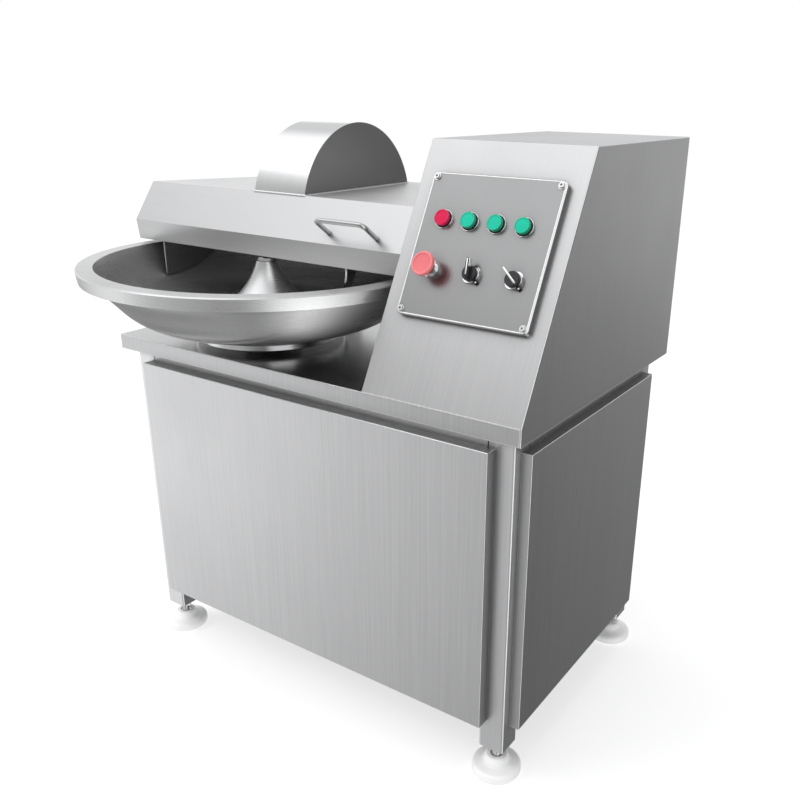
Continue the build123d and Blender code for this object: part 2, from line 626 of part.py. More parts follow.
# ----------------------------------------------------------- knife shaft line
shaft_plane = Plane(origin=(0, KY, KZ), x_dir=(1, 0, 0), z_dir=(0, -1, 0))
shaft_axis = Axis((0, KY, KZ), (1, 0, 0))
KX = (BOWL_X - 15.0, BOWL_X, BOWL_X + 15.0)  # knife planes
with BuildPart() as knife_shaft:
    with BuildSketch(shaft_plane):
        with BuildLine():
            Polyline((-226, 0), (-226, 12), (-224, 14), (-196, 14), (-196, 17), (-146, 17), (-146, 26), (-136, 26), (-136, SHAFT_R), (452, SHAFT_R), (454, 18), (454, 0), close=True)
        make_face()
    revolve(axis=shaft_axis)
save(knife_shaft.part, "knife_shaft")

# sickle blades, 5 mm thick, 120 degrees apart along the shaft
with BuildPart() as knife_blades:
    for kx, a in zip(KX, (200.0, 80.0, 320.0)):
        with BuildSketch(Plane(origin=(kx - 2.5, KY, KZ), x_dir=(0, cos(radians(a)), sin(radians(a))), z_dir=(1, 0, 0))):
            with BuildLine():
                Spline((0, 34), (40, 40), (92, 24), (130, -22), (139, -66))
                Line((139, -66), (124, -92))
                Spline((124, -92), (112, -52), (84, -26), (48, -22), (10, -33))
                Line((10, -33), (0, -34.5))
                Line((0, -34.5), (-28, -20))
                Line((-28, -20), (-28, 20))
                Line((-28, 20), (0, 34))
            make_face()
            Circle(17.0, mode=Mode.SUBTRACT)
        extrude(amount=5)
save(knife_blades.part, "knife_blades")

with BuildPart() as knife_spacers:
    for s0, s1 in ((-196.0, KX[0] - 2.5), (KX[0] + 2.5, KX[1] - 2.5), (KX[1] + 2.5, KX[2] - 2.5), (KX[2] + 2.5, -146.0)):
        with BuildSketch(Plane(origin=(s0, KY, KZ), x_dir=(0, 1, 0), z_dir=(1, 0, 0))):
            Circle(27)
            Circle(17.0, mode=Mode.SUBTRACT)
        extrude(amount=s1 - s0)
save(knife_spacers.part, "knife_spacers")

with BuildPart() as knife_nut:
    with BuildSketch(Plane(origin=(-214, KY, KZ), x_dir=(0, 1, 0), z_dir=(1, 0, 0))):
        RegularPolygon(25, 6)
        Circle(14.0, mode=Mode.SUBTRACT)
    extrude(amount=18)
save(knife_nut.part, "knife_nut")

with BuildPart() as shaft_housing:
    with BuildSketch(shaft_plane):
        with BuildLine():
            Polyline((-130, 30), (-130, 34), (-128, 36), (207, 36), (207, 60), (219, 60), (219, 30), (-90, 30), (-90, 27), (-96, 27), (-96, 30), close=True)
        make_face()
    revolve(axis=shaft_axis)
    with BuildSketch(Plane(origin=(200, KY, KZ), x_dir=(0, 1, 0), z_dir=(1, 0, 0))):
        with PolarLocations(49, 6):
            Circle(4.2)
    extrude(amount=30, mode=Mode.SUBTRACT)
save(shaft_housing.part, "shaft_housing")

with BuildPart() as housing_bolts:
    with BuildSketch(Plane(origin=(204, KY, KZ), x_dir=(0, 1, 0), z_dir=(1, 0, 0))):
        with PolarLocations(49, 6):
            Circle(4.0)
    extrude(amount=15)
    with BuildSketch(Plane(origin=(219, KY, KZ), x_dir=(0, 1, 0), z_dir=(1, 0, 0))):
        with PolarLocations(49, 6):
            RegularPolygon(7.5, 6)
    extrude(amount=6)
save(housing_bolts.part, "housing_bolts")

PED_X0, PED_X1 = 330.0, 352.0
# ball bearings: two on the knife shaft, two on the bowl spindle
with BuildPart() as shaft_bearings:
    for bz in (560, 668):
        with BuildSketch(Plane.XY.offset(bz)):
            with Locations((BOWL_X, BOWL_Y)):
                Circle(36)
                Circle(21 + RUN, mode=Mode.SUBTRACT)
        extrude(amount=20)
    for b0, b1 in ((-120.0, -98.0), (PED_X0, PED_X1)):
        with BuildSketch(Plane(origin=(b0, KY, KZ), x_dir=(0, 1, 0), z_dir=(1, 0, 0))):
            Circle(30)
            Circle(SHAFT_R + RUN, mode=Mode.SUBTRACT)
        extrude(amount=b1 - b0)
save(shaft_bearings.part, "shaft_bearings")

with BuildPart() as shaft_seal:
    with BuildSketch(Plane(origin=(-129, KY, KZ), x_dir=(0, 1, 0), z_dir=(1, 0, 0))):
        Circle(30)
        Circle(SHAFT_R + RUN, mode=Mode.SUBTRACT)
    extrude(amount=8)
save(shaft_seal.part, "shaft_seal")

with BuildPart() as bearing_pedestal:
    with BuildSketch(Plane(origin=(PED_X0, 0, 0), x_dir=(0, 1, 0), z_dir=(1, 0, 0))):
        with Locations((KY, KZ)):
            Circle(50)
        with BuildLine():
            Polyline((KY - 75, CAP_Z1), (KY - 47, KZ - 10), (KY + 47, KZ - 10), (KY + 75, CAP_Z1), close=True)
        make_face()
        with Locations((KY, KZ)):
            Circle(30, mode=Mode.SUBTRACT)
    extrude(amount=PED_X1 - PED_X0)
    with Locations(((PED_X0 + PED_X1) / 2, KY, CAP_Z1 + 6)):
        Box(70, 190, 12)
save(bearing_pedestal.part, "bearing_pedestal")

KNIFE_PR, MOTOR_PR = 50.0, 70.0
BELT_MID = sum(BELT_X) / 2
with BuildPart() as knife_pulley:
    with BuildSketch(shaft_plane):
        with BuildLine():
            Polyline(*[(a, r) for r, a in pulley_profile(KNIFE_PR, 48, BELT_X, SHAFT_R, BELT_MID)], close=True)
        make_face()
    revolve(axis=shaft_axis)
save(knife_pulley.part, "knife_pulley")

motor_plane = Plane(origin=(0, KY, MOTOR_Z), x_dir=(1, 0, 0), z_dir=(0, -1, 0))
motor_axis = Axis((0, KY, MOTOR_Z), (1, 0, 0))
with BuildPart() as motor_pulley:
    with BuildSketch(motor_plane):
        with BuildLine():
            Polyline(*[(a, r) for r, a in pulley_profile(MOTOR_PR, 48, BELT_X, 14.0, BELT_MID)], close=True)
        make_face()
    revolve(axis=motor_axis)
save(motor_pulley.part, "motor_pulley")

# V-belts: two from the motor to the knife shaft, one from the gearmotor to the bowl
with BuildPart() as drive_belts:
    with BuildSketch(Plane.XY.offset(BOWL_PULLEY_Z - 4.5)):
        with Locations((BOWL_X, BOWL_Y)):
            Circle(BOWL_PR + 1.5)
        with Locations((GEAR_X, GEAR_Y)):
            Circle(GEAR_PR + 1.5)
        make_hull()
    extrude(amount=9)
    with BuildSketch(Plane.XY.offset(BOWL_PULLEY_Z - 4.5)):
        with Locations((BOWL_X, BOWL_Y)):
            Circle(BOWL_PR - 6.5)
        with Locations((GEAR_X, GEAR_Y)):
            Circle(GEAR_PR - 6.5)
        make_hull()
    extrude(amount=9, mode=Mode.SUBTRACT)
    for bx in BELT_X:
        with BuildSketch(Plane(origin=(bx - 4.5, KY, 0), x_dir=(0, 1, 0), z_dir=(1, 0, 0))):
            with Locations((0, KZ)):
                Circle(KNIFE_PR + 1.5)
            with Locations((0, MOTOR_Z)):
                Circle(MOTOR_PR + 1.5)
            make_hull()
        extrude(amount=9)
        with BuildSketch(Plane(origin=(bx - 4.5, KY, 0), x_dir=(0, 1, 0), z_dir=(1, 0, 0))):
            with Locations((0, KZ)):
                Circle(KNIFE_PR - 6.5)
            with Locations((0, MOTOR_Z)):
                Circle(MOTOR_PR - 6.5)
            make_hull()
        extrude(amount=9, mode=Mode.SUBTRACT)
save(drive_belts.part, "drive_belts")

# main motor: hollow finned housing with end shields, feet and terminal box
with BuildPart() as main_motor:
    with BuildSketch(Plane(origin=(70, KY, MOTOR_Z), x_dir=(0, 1, 0), z_dir=(1, 0, 0))):
        Circle(92)
        with PolarLocations(94, 36):
            Rectangle(16, 2.6)
    extrude(amount=230)
    with BuildSketch(Plane(origin=(52, KY, MOTOR_Z), x_dir=(0, 1, 0), z_dir=(1, 0, 0))):
        Circle(100)
    extrude(amount=18)
    with BuildSketch(Plane(origin=(300, KY, MOTOR_Z), x_dir=(0, 1, 0), z_dir=(1, 0, 0))):
        Circle(100)
    extrude(amount=18, taper=8)
    for mx in (110.0, 270.0):
        with Locations((mx, KY, 204)):
            Box(46, 180, 18)
        with Locations((mx, KY, 216)):
            Box(30, 110, 24)
    with Locations((150, KY, MOTOR_Z + 112)):
        Box(100, 90, 44)
    # rotor bore and shaft hole
    with BuildSketch(Plane(origin=(60, KY, MOTOR_Z), x_dir=(0, 1, 0), z_dir=(1, 0, 0))):
        Circle(60)
    extrude(amount=236, mode=Mode.SUBTRACT)
    with BuildSketch(Plane(origin=(290, KY, MOTOR_Z), x_dir=(0, 1, 0), z_dir=(1, 0, 0))):
        Circle(14 + RUN)
    extrude(amount=60, mode=Mode.SUBTRACT)
save(main_motor.part, "main_motor")

with BuildPart() as motor_rotor:
    with BuildSketch(motor_plane):
        with BuildLine():
            Polyline((64, 0), (64, 14), (90, 14), (90, 58.5), (280, 58.5), (280, 18), (292, 18), (292, 14), (452, 14), (453, 13), (453, 0), close=True)
        make_face()
    revolve(axis=motor_axis)
save(motor_rotor.part, "motor_rotor")

with BuildPart() as drive_mounts:
    # base plate of the main motor
    with Locations((190, KY, 190)):
        Box(270, 210, 10)
    # stand of the gearmotor: base, two cheeks and a top plate
    with Locations((GEAR_X, GEAR_Y, 190)):
        Box(200, 130, 10)
    for sx in (-56.0, 56.0):
        with Locations((GEAR_X + sx, GEAR_Y, 257.5)):
            Box(8, 120, 125)
    with Locations((GEAR_X, GEAR_Y, 325)):
        Box(130, 130, 10)
save(drive_mounts.part, "drive_mounts")

with BuildPart() as electrical_box:
    with Locations((-5, -125, 262.5)):
        Box(150, 110, 275)
        Box(146, 106, 271, mode=Mode.SUBTRACT)
    with Locations((-5, -68.5, 263.5)):
        Box(152, 3, 277)
save(electrical_box.part, "electrical_box")

gland_plane = Plane(origin=(GLAND_X, 0, GLAND_Z), x_dir=(1, 0, 0), z_dir=(0, 0, 1))
with BuildPart() as cable_gland:
    with BuildSketch(Plane(origin=(GLAND_X, py1 - 14, GLAND_Z), x_dir=(-1, 0, 0), z_dir=(0, 1, 0))):
        Circle(12)
    extrude(amount=14)
    with BuildSketch(Plane(origin=(GLAND_X, py1, GLAND_Z), x_dir=(-1, 0, 0), z_dir=(0, 1, 0))):
        RegularPolygon(17, 6)
    extrude(amount=8)
    with BuildSketch(Plane(origin=(GLAND_X, py1 + 8, GLAND_Z), x_dir=(-1, 0, 0), z_dir=(0, 1, 0))):
        Circle(14)
    extrude(amount=14, taper=10)
    with BuildSketch(Plane(origin=(GLAND_X, py1 - 20, GLAND_Z), x_dir=(-1, 0, 0), z_dir=(0, 1, 0))):
        Circle(7)
    extrude(amount=60, mode=Mode.SUBTRACT)
save(cable_gland.part, "cable_gland")

# ---------------------------------------------------------------------- the lid
diag_dx = 150.0  # the back left corner of the lid is cut away by this much
with BuildPart() as lid_shell:
    with BuildSketch(Plane(origin=(LID_X0, 0, 0), x_dir=(0, 1, 0), z_dir=(1, 0, 0))):
        with BuildLine():
            Polyline(*LIP, (LID_YB, LID_Z1), (LID_YB, LID_Z0), close=True)
        make_face()
    extrude(amount=LID_X1 - LID_X0)
    with BuildSketch(Plane.XY.offset(LID_Z0 - 5)):
        with BuildLine():
            Polyline((LID_X0 - 10, LIP[2][0]), (LID_X0, LIP[2][0]), (LID_X0 + diag_dx, LID_YB), (LID_X0 + diag_dx, LID_YB + 10), (LID_X0 - 10, LID_YB + 10), close=True)
        make_face()
    extrude(amount=200, mode=Mode.SUBTRACT)
    offset(amount=-2.5, openings=lid_shell.faces().sort_by(Axis.Z)[0])
    # opening under the arched cover
    with BuildSketch(Plane.XY.offset(LID_Z1 - 10)):
        with Locations(((ARCH_X0 + ARCH_X1) / 2, ARCH_Y)):
            Rectangle(ARCH_X1 - ARCH_X0 - 5, 2 * (sqrt(ARCH_R**2 - (LID_Z1 - ARCH_Z) ** 2) - 2.5))
    extrude(amount=20, mode=Mode.SUBTRACT)
    # slot in the right end wall, over the shaft housing
    with BuildSketch(Plane(origin=(LID_X1 - 8, KY, KZ), x_dir=(0, 1, 0), z_dir=(1, 0, 0))):
        Circle(44)
        with Locations((0, -40)):
            Rectangle(88, 80)
    extrude(amount=20, mode=Mode.SUBTRACT)
save(lid_shell.part, "lid_shell")

with BuildPart() as knife_arch:
    with BuildSketch(Plane(origin=(ARCH_X0, ARCH_Y, ARCH_Z), x_dir=(0, 1, 0), z_dir=(1, 0, 0))):
        Circle(ARCH_R)
        with Locations((0, -ARCH_R + (LID_Z1 - ARCH_Z))):
            Rectangle(3 * ARCH_R, 2 * ARCH_R, mode=Mode.SUBTRACT)
    extrude(amount=ARCH_X1 - ARCH_X0)
    with BuildSketch(Plane(origin=(ARCH_X0 + 2.5, ARCH_Y, ARCH_Z), x_dir=(0, 1, 0), z_dir=(1, 0, 0))):
        Circle(ARCH_R - 2.5)
    extrude(amount=ARCH_X1 - ARCH_X0 - 5, mode=Mode.SUBTRACT)
save(knife_arch.part, "knife_arch")

# handle: 9 mm rod bent into a U, its legs normal to the slanted face
(ly0, lz0), (ly1, lz1), (ly2, lz2) = LIP
ln = sqrt((ly2 - ly1) ** 2 + (lz2 - lz1) ** 2)
face_up = Vector(0, (ly2 - ly1) / ln, (lz2 - lz1) / ln)
face_n = Vector(0, -(lz2 - lz1) / ln, (ly2 - ly1) / ln)
HND_X0, HND_X1, HND_S, HND_H, HND_R = 11.0, 123.0, 22.0, 50.0, 4.5
base0 = Vector(0, ly1, lz1) + face_up * HND_S
with BuildPart() as lid_handle:
    with BuildLine() as rod_line:
        FilletPolyline(
            base0 + Vector(HND_X0, 0, 0),
            base0 + Vector(HND_X0, 0, 0) + face_n * HND_H,
            base0 + Vector(HND_X1, 0, 0) + face_n * HND_H,
            base0 + Vector(HND_X1, 0, 0),
            radius=12,
        )
    with BuildSketch(Plane(origin=base0 + Vector(HND_X0, 0, 0), z_dir=face_n)):
        Circle(HND_R)
    sweep()
save(lid_handle.part, "lid_handle")

# baffle: flat plate across the channel, its lower edge follows the bowl
BAF_X = -455.0
bdx = BAF_X - BOWL_X
with BuildPart() as lid_baffle:
    with BuildSketch(Plane(origin=(BAF_X - 1.5, 0, 0), x_dir=(0, 1, 0), z_dir=(1, 0, 0))):
        pts = []
        for yy in (-72.0, -40.0, -10.0, 20.0, 45.0, 66.0):
            rr = sqrt(bdx**2 + (yy - BOWL_Y) ** 2)
            pts.append((yy, channel_z(rr + 5.5) + 1.5))
        with BuildLine():
            Spline(*pts)
            Line(pts[-1], (pts[-1][0], 866))
            Line((pts[-1][0], 866), (96, 866))
            Line((96, 866), (96, LID_Z1 - 2.5))
            Line((96, LID_Z1 - 2.5), (LIP[2][0] + 2, LID_Z1 - 2.5))
            Line((LIP[2][0] + 2, LID_Z1 - 2.5), (-74.5, 905))
            Line((-74.5, 905), (-72, 866))
            Line((-72, 866), pts[0])
        make_face()
    extrude(amount=3)
save(lid_baffle.part, "lid_baffle")

# hinges
with BuildPart() as hinge_brackets:
    for hx in HINGE_X:
        with Locations((hx, HINGE_Y, CAP_Z1 + 4)):
            Box(90, 60, 8)
        for ex in (-19.0, 19.0):
            with BuildSketch(Plane(origin=(hx + ex - 4, 0, 0), x_dir=(0, 1, 0), z_dir=(1, 0, 0))):
                with BuildLine():
                    Polyline((HINGE_Y - 22, CAP_Z1 + 7), (HINGE_Y - 14, HINGE_Z), (HINGE_Y + 14, HINGE_Z), (HINGE_Y + 22, CAP_Z1 + 7), close=True)
                make_face()
                with Locations((HINGE_Y, HINGE_Z)):
                    Circle(14)
                    Circle(8.0, mode=Mode.SUBTRACT)
            extrude(amount=8)
        with BuildSketch(Plane.XY.offset(CAP_Z1 - 1)):
            with Locations((hx, HINGE_Y)):
                with GridLocations(72, 40, 2, 2):
                    Circle(4.2)
        extrude(amount=12, mode=Mode.SUBTRACT)
save(hinge_brackets.part, "hinge_brackets")

with BuildPart() as hinge_pins:
    for hx in HINGE_X:
        with BuildSketch(Plane(origin=(hx - 27, HINGE_Y, HINGE_Z), x_dir=(0, 1, 0), z_dir=(1, 0, 0))):
            Circle(8.0)
        extrude(amount=54)
        for cxp in (hx - 29, hx + 23.5):
            with BuildSketch(Plane(origin=(cxp, HINGE_Y, HINGE_Z), x_dir=(0, 1, 0), z_dir=(1, 0, 0))):
                Circle(11)
            extrude(amount=5.5)
save(hinge_pins.part, "hinge_pins")

with BuildPart() as hinge_leaves:
    for hx in HINGE_X:
        with BuildSketch(Plane(origin=(hx - 14, 0, 0), x_dir=(0, 1, 0), z_dir=(1, 0, 0))):
            with Locations((HINGE_Y, HINGE_Z)):
                Circle(14)
            with BuildLine():
                Polyline((LID_YB, HINGE_Z - 12), (LID_YB, HINGE_Z + 12), (HINGE_Y, HINGE_Z + 12), (HINGE_Y, HINGE_Z - 12), close=True)
            make_face()
            with Locations((HINGE_Y, HINGE_Z)):
                Circle(8.0 + RUN, mode=Mode.SUBTRACT)
        extrude(amount=28)
        with Locations((hx, LID_YB + 2, HINGE_Z)):
            Box(80, 4, 60)
save(hinge_leaves.part, "hinge_leaves")
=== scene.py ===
"""Looks for the bowl cutter: materials, fine detail pieces, floor, light and camera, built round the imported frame. Metres."""

import math

import bmesh
import bpy
from mathutils import Matrix, Vector


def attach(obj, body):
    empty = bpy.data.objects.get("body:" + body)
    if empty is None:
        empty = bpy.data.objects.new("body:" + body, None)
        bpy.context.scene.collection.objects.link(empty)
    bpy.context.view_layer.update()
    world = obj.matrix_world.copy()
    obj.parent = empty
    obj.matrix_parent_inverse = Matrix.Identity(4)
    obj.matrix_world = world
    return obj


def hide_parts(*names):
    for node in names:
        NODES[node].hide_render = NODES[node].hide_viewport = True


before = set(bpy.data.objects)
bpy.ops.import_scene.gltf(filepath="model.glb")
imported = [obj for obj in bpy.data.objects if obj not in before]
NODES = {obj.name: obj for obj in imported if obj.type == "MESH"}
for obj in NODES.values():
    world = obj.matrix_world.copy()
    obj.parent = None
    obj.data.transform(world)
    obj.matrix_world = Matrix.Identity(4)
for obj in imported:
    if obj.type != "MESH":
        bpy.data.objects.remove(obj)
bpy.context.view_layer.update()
scene = bpy.context.scene
MM = 0.001

# --------------------------------------------------------------------- camera
right = Vector((0.8365, 0.5478, 0.0134))
forward = Vector((-0.50676, 0.78276, -0.36123)).normalized()
right = (right - forward * right.dot(forward)).normalized()
up = right.cross(forward).normalized()
cam_data = bpy.data.cameras.new("camera")
cam = bpy.data.objects.new("camera", cam_data)
scene.collection.objects.link(cam)
cam.matrix_world = Matrix((
    (right.x, up.x, -forward.x, 1.08505),
    (right.y, up.y, -forward.y, -1.29905),
    (right.z, up.z, -forward.z, 1.17028),
    (0, 0, 0, 1),
))
cam_data.sensor_width = 36
cam_data.lens = 38.68
cam_data.shift_x = -0.0644
cam_data.shift_y = 0.0306
cam_data.clip_start = 0.02
cam_data.clip_end = 60
scene.camera = cam

# ------------------------------------------------------------ world and light
scene.view_settings.view_transform = "Standard"
scene.view_settings.look = "None"
scene.view_settings.exposure = 0.0
scene.view_settings.gamma = 1.0


class Net:
    """A node tree with short calls for the nodes used here."""

    def __init__(self, tree):
        self.t = tree
        tree.nodes.clear()

    def node(self, kind, **values):
        n = self.t.nodes.new(kind)
        for k, v in values.items():
            setattr(n, k, v)
        return n

    def link(self, a, b):
        self.t.links.new(a, b)

    def put(self, socket, value):
        if hasattr(value, "links") or isinstance(value, bpy.types.NodeSocket):
            self.link(value, socket)
        elif value is not None:
            socket.default_value = value

    def math(self, op, a, b=None, clamp=False):
        n = self.node("ShaderNodeMath", operation=op, use_clamp=clamp)
        self.put(n.inputs[0], a)
        if b is not None:
            self.put(n.inputs[1], b)
        return n.outputs[0]

    def vmath(self, op, a, b=None, out=0):
        n = self.node("ShaderNodeVectorMath", operation=op)
        self.put(n.inputs[0], a)
        if b is not None:
            self.put(n.inputs[1], b)
        return n.outputs[out]

    def span(self, value, lo, hi, to_lo=0.0, to_hi=1.0, smooth=False):
        n = self.node("ShaderNodeMapRange", clamp=True)
        if smooth:
            n.interpolation_type = "SMOOTHSTEP"
        self.put(n.inputs["Value"], value)
        for k, v in (("From Min", lo), ("From Max", hi), ("To Min", to_lo), ("To Max", to_hi)):
            self.put(n.inputs[k], v)
        return n.outputs["Result"]

    def mix(self, fac, a, b):
        n = self.node("ShaderNodeMix", data_type="RGBA")
        self.put(n.inputs[0], fac)
        self.put(n.inputs[6], a)
        self.put(n.inputs[7], b)
        return n.outputs[2]

    def ramp(self, fac, stops, mode="LINEAR"):
        n = self.node("ShaderNodeValToRGB")
        n.color_ramp.interpolation = mode
        els = n.color_ramp.elements
        while len(els) < len(stops):
            els.new(0.5)
        for e, (p, c) in zip(els, stops):
            e.position = p
            e.color = c if len(c) == 4 else (*c, 1)
        self.put(n.inputs[0], fac)
        return n.outputs[0]

    def noise(self, vector, scale=1.0, detail=2.0, rough=0.5, distortion=0.0, out=0):
        n = self.node("ShaderNodeTexNoise")
        self.put(n.inputs["Vector"], vector)
        n.inputs["Scale"].default_value = scale
        n.inputs["Detail"].default_value = detail
        n.inputs["Roughness"].default_value = rough
        n.inputs["Distortion"].default_value = distortion
        return n.outputs[out]

    def stretch(self, vector, scale, rot=(0, 0, 0)):
        n = self.node("ShaderNodeMapping")
        self.put(n.inputs["Vector"], vector)
        n.inputs["Scale"].default_value = scale
        n.inputs["Rotation"].default_value = rot
        return n.outputs[0]

    def bump(self, height, strength, distance, normal=None):
        n = self.node("ShaderNodeBump")
        n.inputs["Strength"].default_value = strength
        n.inputs["Distance"].default_value = distance
        self.put(n.inputs["Height"], height)
        if normal is not None:
            self.link(normal, n.inputs["Normal"])
        return n.outputs[0]


def grey(v, a=1.0):
    return (v, v, v, a)


def make_world():
    """A soft, pale studio: light from the left and above, a dim side on the right, plain white where it is seen."""
    world = bpy.data.worlds.new("studio")
    scene.world = world
    world.use_nodes = True
    w = Net(world.node_tree)
    out = w.node("ShaderNodeOutputWorld")
    tc = w.node("ShaderNodeTexCoord")
    d = tc.outputs["Generated"]
    sep = w.node("ShaderNodeSeparateXYZ")
    w.link(d, sep.inputs[0])
    x, y, z = sep.outputs
    # the main slope from the bright left to the dim right, rising with height
    base = w.math("ADD", w.math("MULTIPLY", x, -0.62), w.math("MULTIPLY", z, 0.42))
    level = w.span(base, -0.50, 0.56, 0.125, 1.20)
    # a broad overhead softbox and a tall one at the left front
    top = w.span(w.vmath("DOT_PRODUCT", d, Vector((-0.30, -0.50, 0.80)).normalized(), out=1), 0.84, 0.985, 0, 0.62, smooth=True)
    left = w.span(w.vmath("DOT_PRODUCT", d, Vector((-0.90, -0.42, -0.12)).normalized(), out=1), 0.86, 0.98, 0, 0.30, smooth=True)
    # a tall strip softbox at the right front, which the folded edges and the bowl's flank catch
    flat = w.node("ShaderNodeCombineXYZ")
    w.link(x, flat.inputs[0])
    w.link(y, flat.inputs[1])
    az = w.vmath("DOT_PRODUCT", w.vmath("NORMALIZE", flat.outputs[0]), Vector((0.90, -0.436, 0)), out=1)
    strip = w.math("MULTIPLY", w.span(az, 0.86, 0.97, 0, 1.1, smooth=True), w.span(w.math("ABSOLUTE", z), 0.62, 0.85, 1, 0, smooth=True))
    # a pale wall behind, and a dimmer band at the horizon in front
    back = w.math("MULTIPLY", w.span(y, 0.80, 0.96, 0, 0.24, smooth=True), w.span(z, -0.34, -0.12, 0, 1, smooth=True))
    band = w.math("MULTIPLY", w.span(w.math("ABSOLUTE", w.math("SUBTRACT", z, 0.16)), 0.12, 0.50, 0.44, 0, smooth=True), w.span(y, -0.4, 0.2, 1, 0, smooth=True))
    total = w.math("ADD", w.math("ADD", level, top), w.math("ADD", left, back))
    front_low = w.math("MULTIPLY", w.span(z, 0.60, 0.50, 0, 1, smooth=True), w.math("MULTIPLY", w.span(z, -0.30, -0.05, 0, 1, smooth=True), w.span(y, 0.0, -0.35, 0, 0.20, smooth=True)))
    total = w.math("MULTIPLY", total, w.math("SUBTRACT", 1.0, front_low))
    back_sky = w.math("MULTIPLY", w.span(y, 0.2, 0.5, 0, 1, smooth=True), w.span(z, 0.14, 0.34, 0, 0.40, smooth=True))
    total = w.math("MULTIPLY", total, w.math("SUBTRACT", 1.0, back_sky))
    facing = w.vmath("DOT_PRODUCT", w.vmath("NORMALIZE", flat.outputs[0]), Vector((-0.45, -0.893, 0)), out=1)
    total = w.math("MULTIPLY", total, w.span(facing, 0.93, 0.995, 1.0, 0.82, smooth=True))
    floor_back = w.math("MULTIPLY", w.math("MULTIPLY", w.span(y, -0.30, 0.15, 0, 1, smooth=True), w.span(x, -0.15, -0.55, 0, 1, smooth=True)), w.span(z, -0.06, -0.30, 0, 0.72, smooth=True))
    total = w.math("MULTIPLY", total, w.math("SUBTRACT", 1.0, floor_back))
    total = w.math("ADD", w.math("MULTIPLY", total, w.math("SUBTRACT", 1.0, band)), strip)
    light = w.node("ShaderNodeBackground")
    w.link(total, light.inputs["Strength"])
    light.inputs["Color"].default_value = (0.985, 0.99, 1.0, 1)
    seen = w.node("ShaderNodeBackground")
    seen.inputs["Color"].default_value = (1, 1, 1, 1)
    seen.inputs["Strength"].default_value = 1.0
    path = w.node("ShaderNodeLightPath")
    mix = w.node("ShaderNodeMixShader")
    w.link(path.outputs["Is Camera Ray"], mix.inputs[0])
    w.link(light.outputs[0], mix.inputs[1])
    w.link(seen.outputs[0], mix.inputs[2])
    w.link(mix.outputs[0], out.inputs[0])


make_world()


def area_light(name, place, target, size, power, size_y=None, colour=(1, 1, 1)):
    data = bpy.data.lights.new(name, "AREA")
    data.shape = "RECTANGLE"
    data.size = size
    data.size_y = size_y or size
    data.energy = power
    data.color = colour
    o = bpy.data.objects.new(name, data)
    scene.collection.objects.link(o)
    o.location = place
    o.rotation_mode = "QUATERNION"
    o.rotation_quaternion = (Vector(target) - Vector(place)).to_track_quat("-Z", "Y")
    o.visible_glossy = False
    return o


area_light("key_softbox", (-2.2, -2.4, 2.9), (0, 0, 0.6), 2.2, 46, 1.6)
area_light("top_softbox", (-0.1, 0.2, 3.4), (0, 0, 0.8), 2.4, 30, 1.8)

kicker = area_light("bowl_kicker", (0.30, -0.50, 0.60), (0.112, -0.215, 0.803), 0.06, 0.30)
kicker.data.spread = math.radians(30)
kicker.visible_camera = False

# --------------------------------------------------------------------- floor
floor_mesh = bpy.data.meshes.new("floor")
bm = bmesh.new()
bmesh.ops.create_grid(bm, x_segments=8, y_segments=8, size=9.0)
bm.to_mesh(floor_mesh)
bm.free()
floor = bpy.data.objects.new("floor", floor_mesh)
scene.collection.objects.link(floor)
floor.location = (0, 0, -0.0005)
floor_mat = bpy.data.materials.new("floor_white")
floor_mat.use_nodes = True
f = Net(floor_mat.node_tree)
f_out = f.node("ShaderNodeOutputMaterial")
f_b = f.node("ShaderNodeBsdfPrincipled")
f_tc = f.node("ShaderNodeTexCoord")
f_n = f.noise(f_tc.outputs["Object"], scale=0.7, detail=3)
f.link(f.ramp(f_n, [(0.0, grey(0.44)), (1.0, grey(0.48))]), f_b.inputs["Base Color"])
f_b.inputs["Roughness"].default_value = 0.85
f_b.inputs["Specular IOR Level"].default_value = 0.1
f_b.inputs["Emission Color"].default_value = (1, 1, 1, 1)
f_b.inputs["Emission Strength"].default_value = 0.62
f.link(f_b.outputs[0], f_out.inputs[0])
floor_mesh.materials.append(floor_mat)
floor.visible_glossy = False

# ------------------------------------------------------------------ materials
MATS = {}


def material(name):
    m = bpy.data.materials.new(name)
    m.use_nodes = True
    n = Net(m.node_tree)
    out = n.node("ShaderNodeOutputMaterial")
    b = n.node("ShaderNodeBsdfPrincipled")
    n.link(b.outputs[0], out.inputs[0])
    tc = n.node("ShaderNodeTexCoord")
    MATS[name] = m
    return m, n, b, tc


def edge_mask(n, radius, lo=0.02, hi=0.35):
    """1 on edges, 0 on flats: where the rounded normal leaves the true one. Brushed steel uses it for painted highlight
    lines, the plastics for paler rubbed edges.
    """
    bev = n.node("ShaderNodeBevel", samples=4)
    bev.inputs["Radius"].default_value = radius
    geo = n.node("ShaderNodeNewGeometry")
    dot = n.vmath("DOT_PRODUCT", bev.outputs[0], geo.outputs["Normal"], out=1)
    return n.span(n.math("SUBTRACT", 1.0, dot), lo, hi, smooth=True)


def painted_shade_mask(n, distance=0.03, lo=0.25, hi=0.9):
    """Painted shade from ambient occlusion: 1 in tight joints and under overhangs, 0 on open faces."""
    ao = n.node("ShaderNodeAmbientOcclusion", samples=6)
    ao.inputs["Distance"].default_value = distance
    return n.span(ao.outputs["AO"], lo, hi, 1.0, 0.0)


def streaks(n, tc, across):
    """Brushed grain: fine, middle and broad streaks that change only across them."""
    obj = tc.outputs["Object"]
    fine, mid, broad = {
        "x": ((900, 5, 5), (260, 1.6, 1.6), (34, 0.8, 0.8)),
        "y": ((5, 900, 5), (1.6, 260, 1.6), (0.8, 34, 0.8)),
        "z": ((5, 5, 900), (1.6, 1.6, 260), (0.8, 0.8, 34)),
    }[across]
    a = n.noise(n.stretch(obj, fine), detail=2, rough=0.65)
    b = n.noise(n.stretch(obj, mid), detail=3, rough=0.6)
    c = n.noise(n.stretch(obj, broad), detail=3, rough=0.55)
    return a, b, c


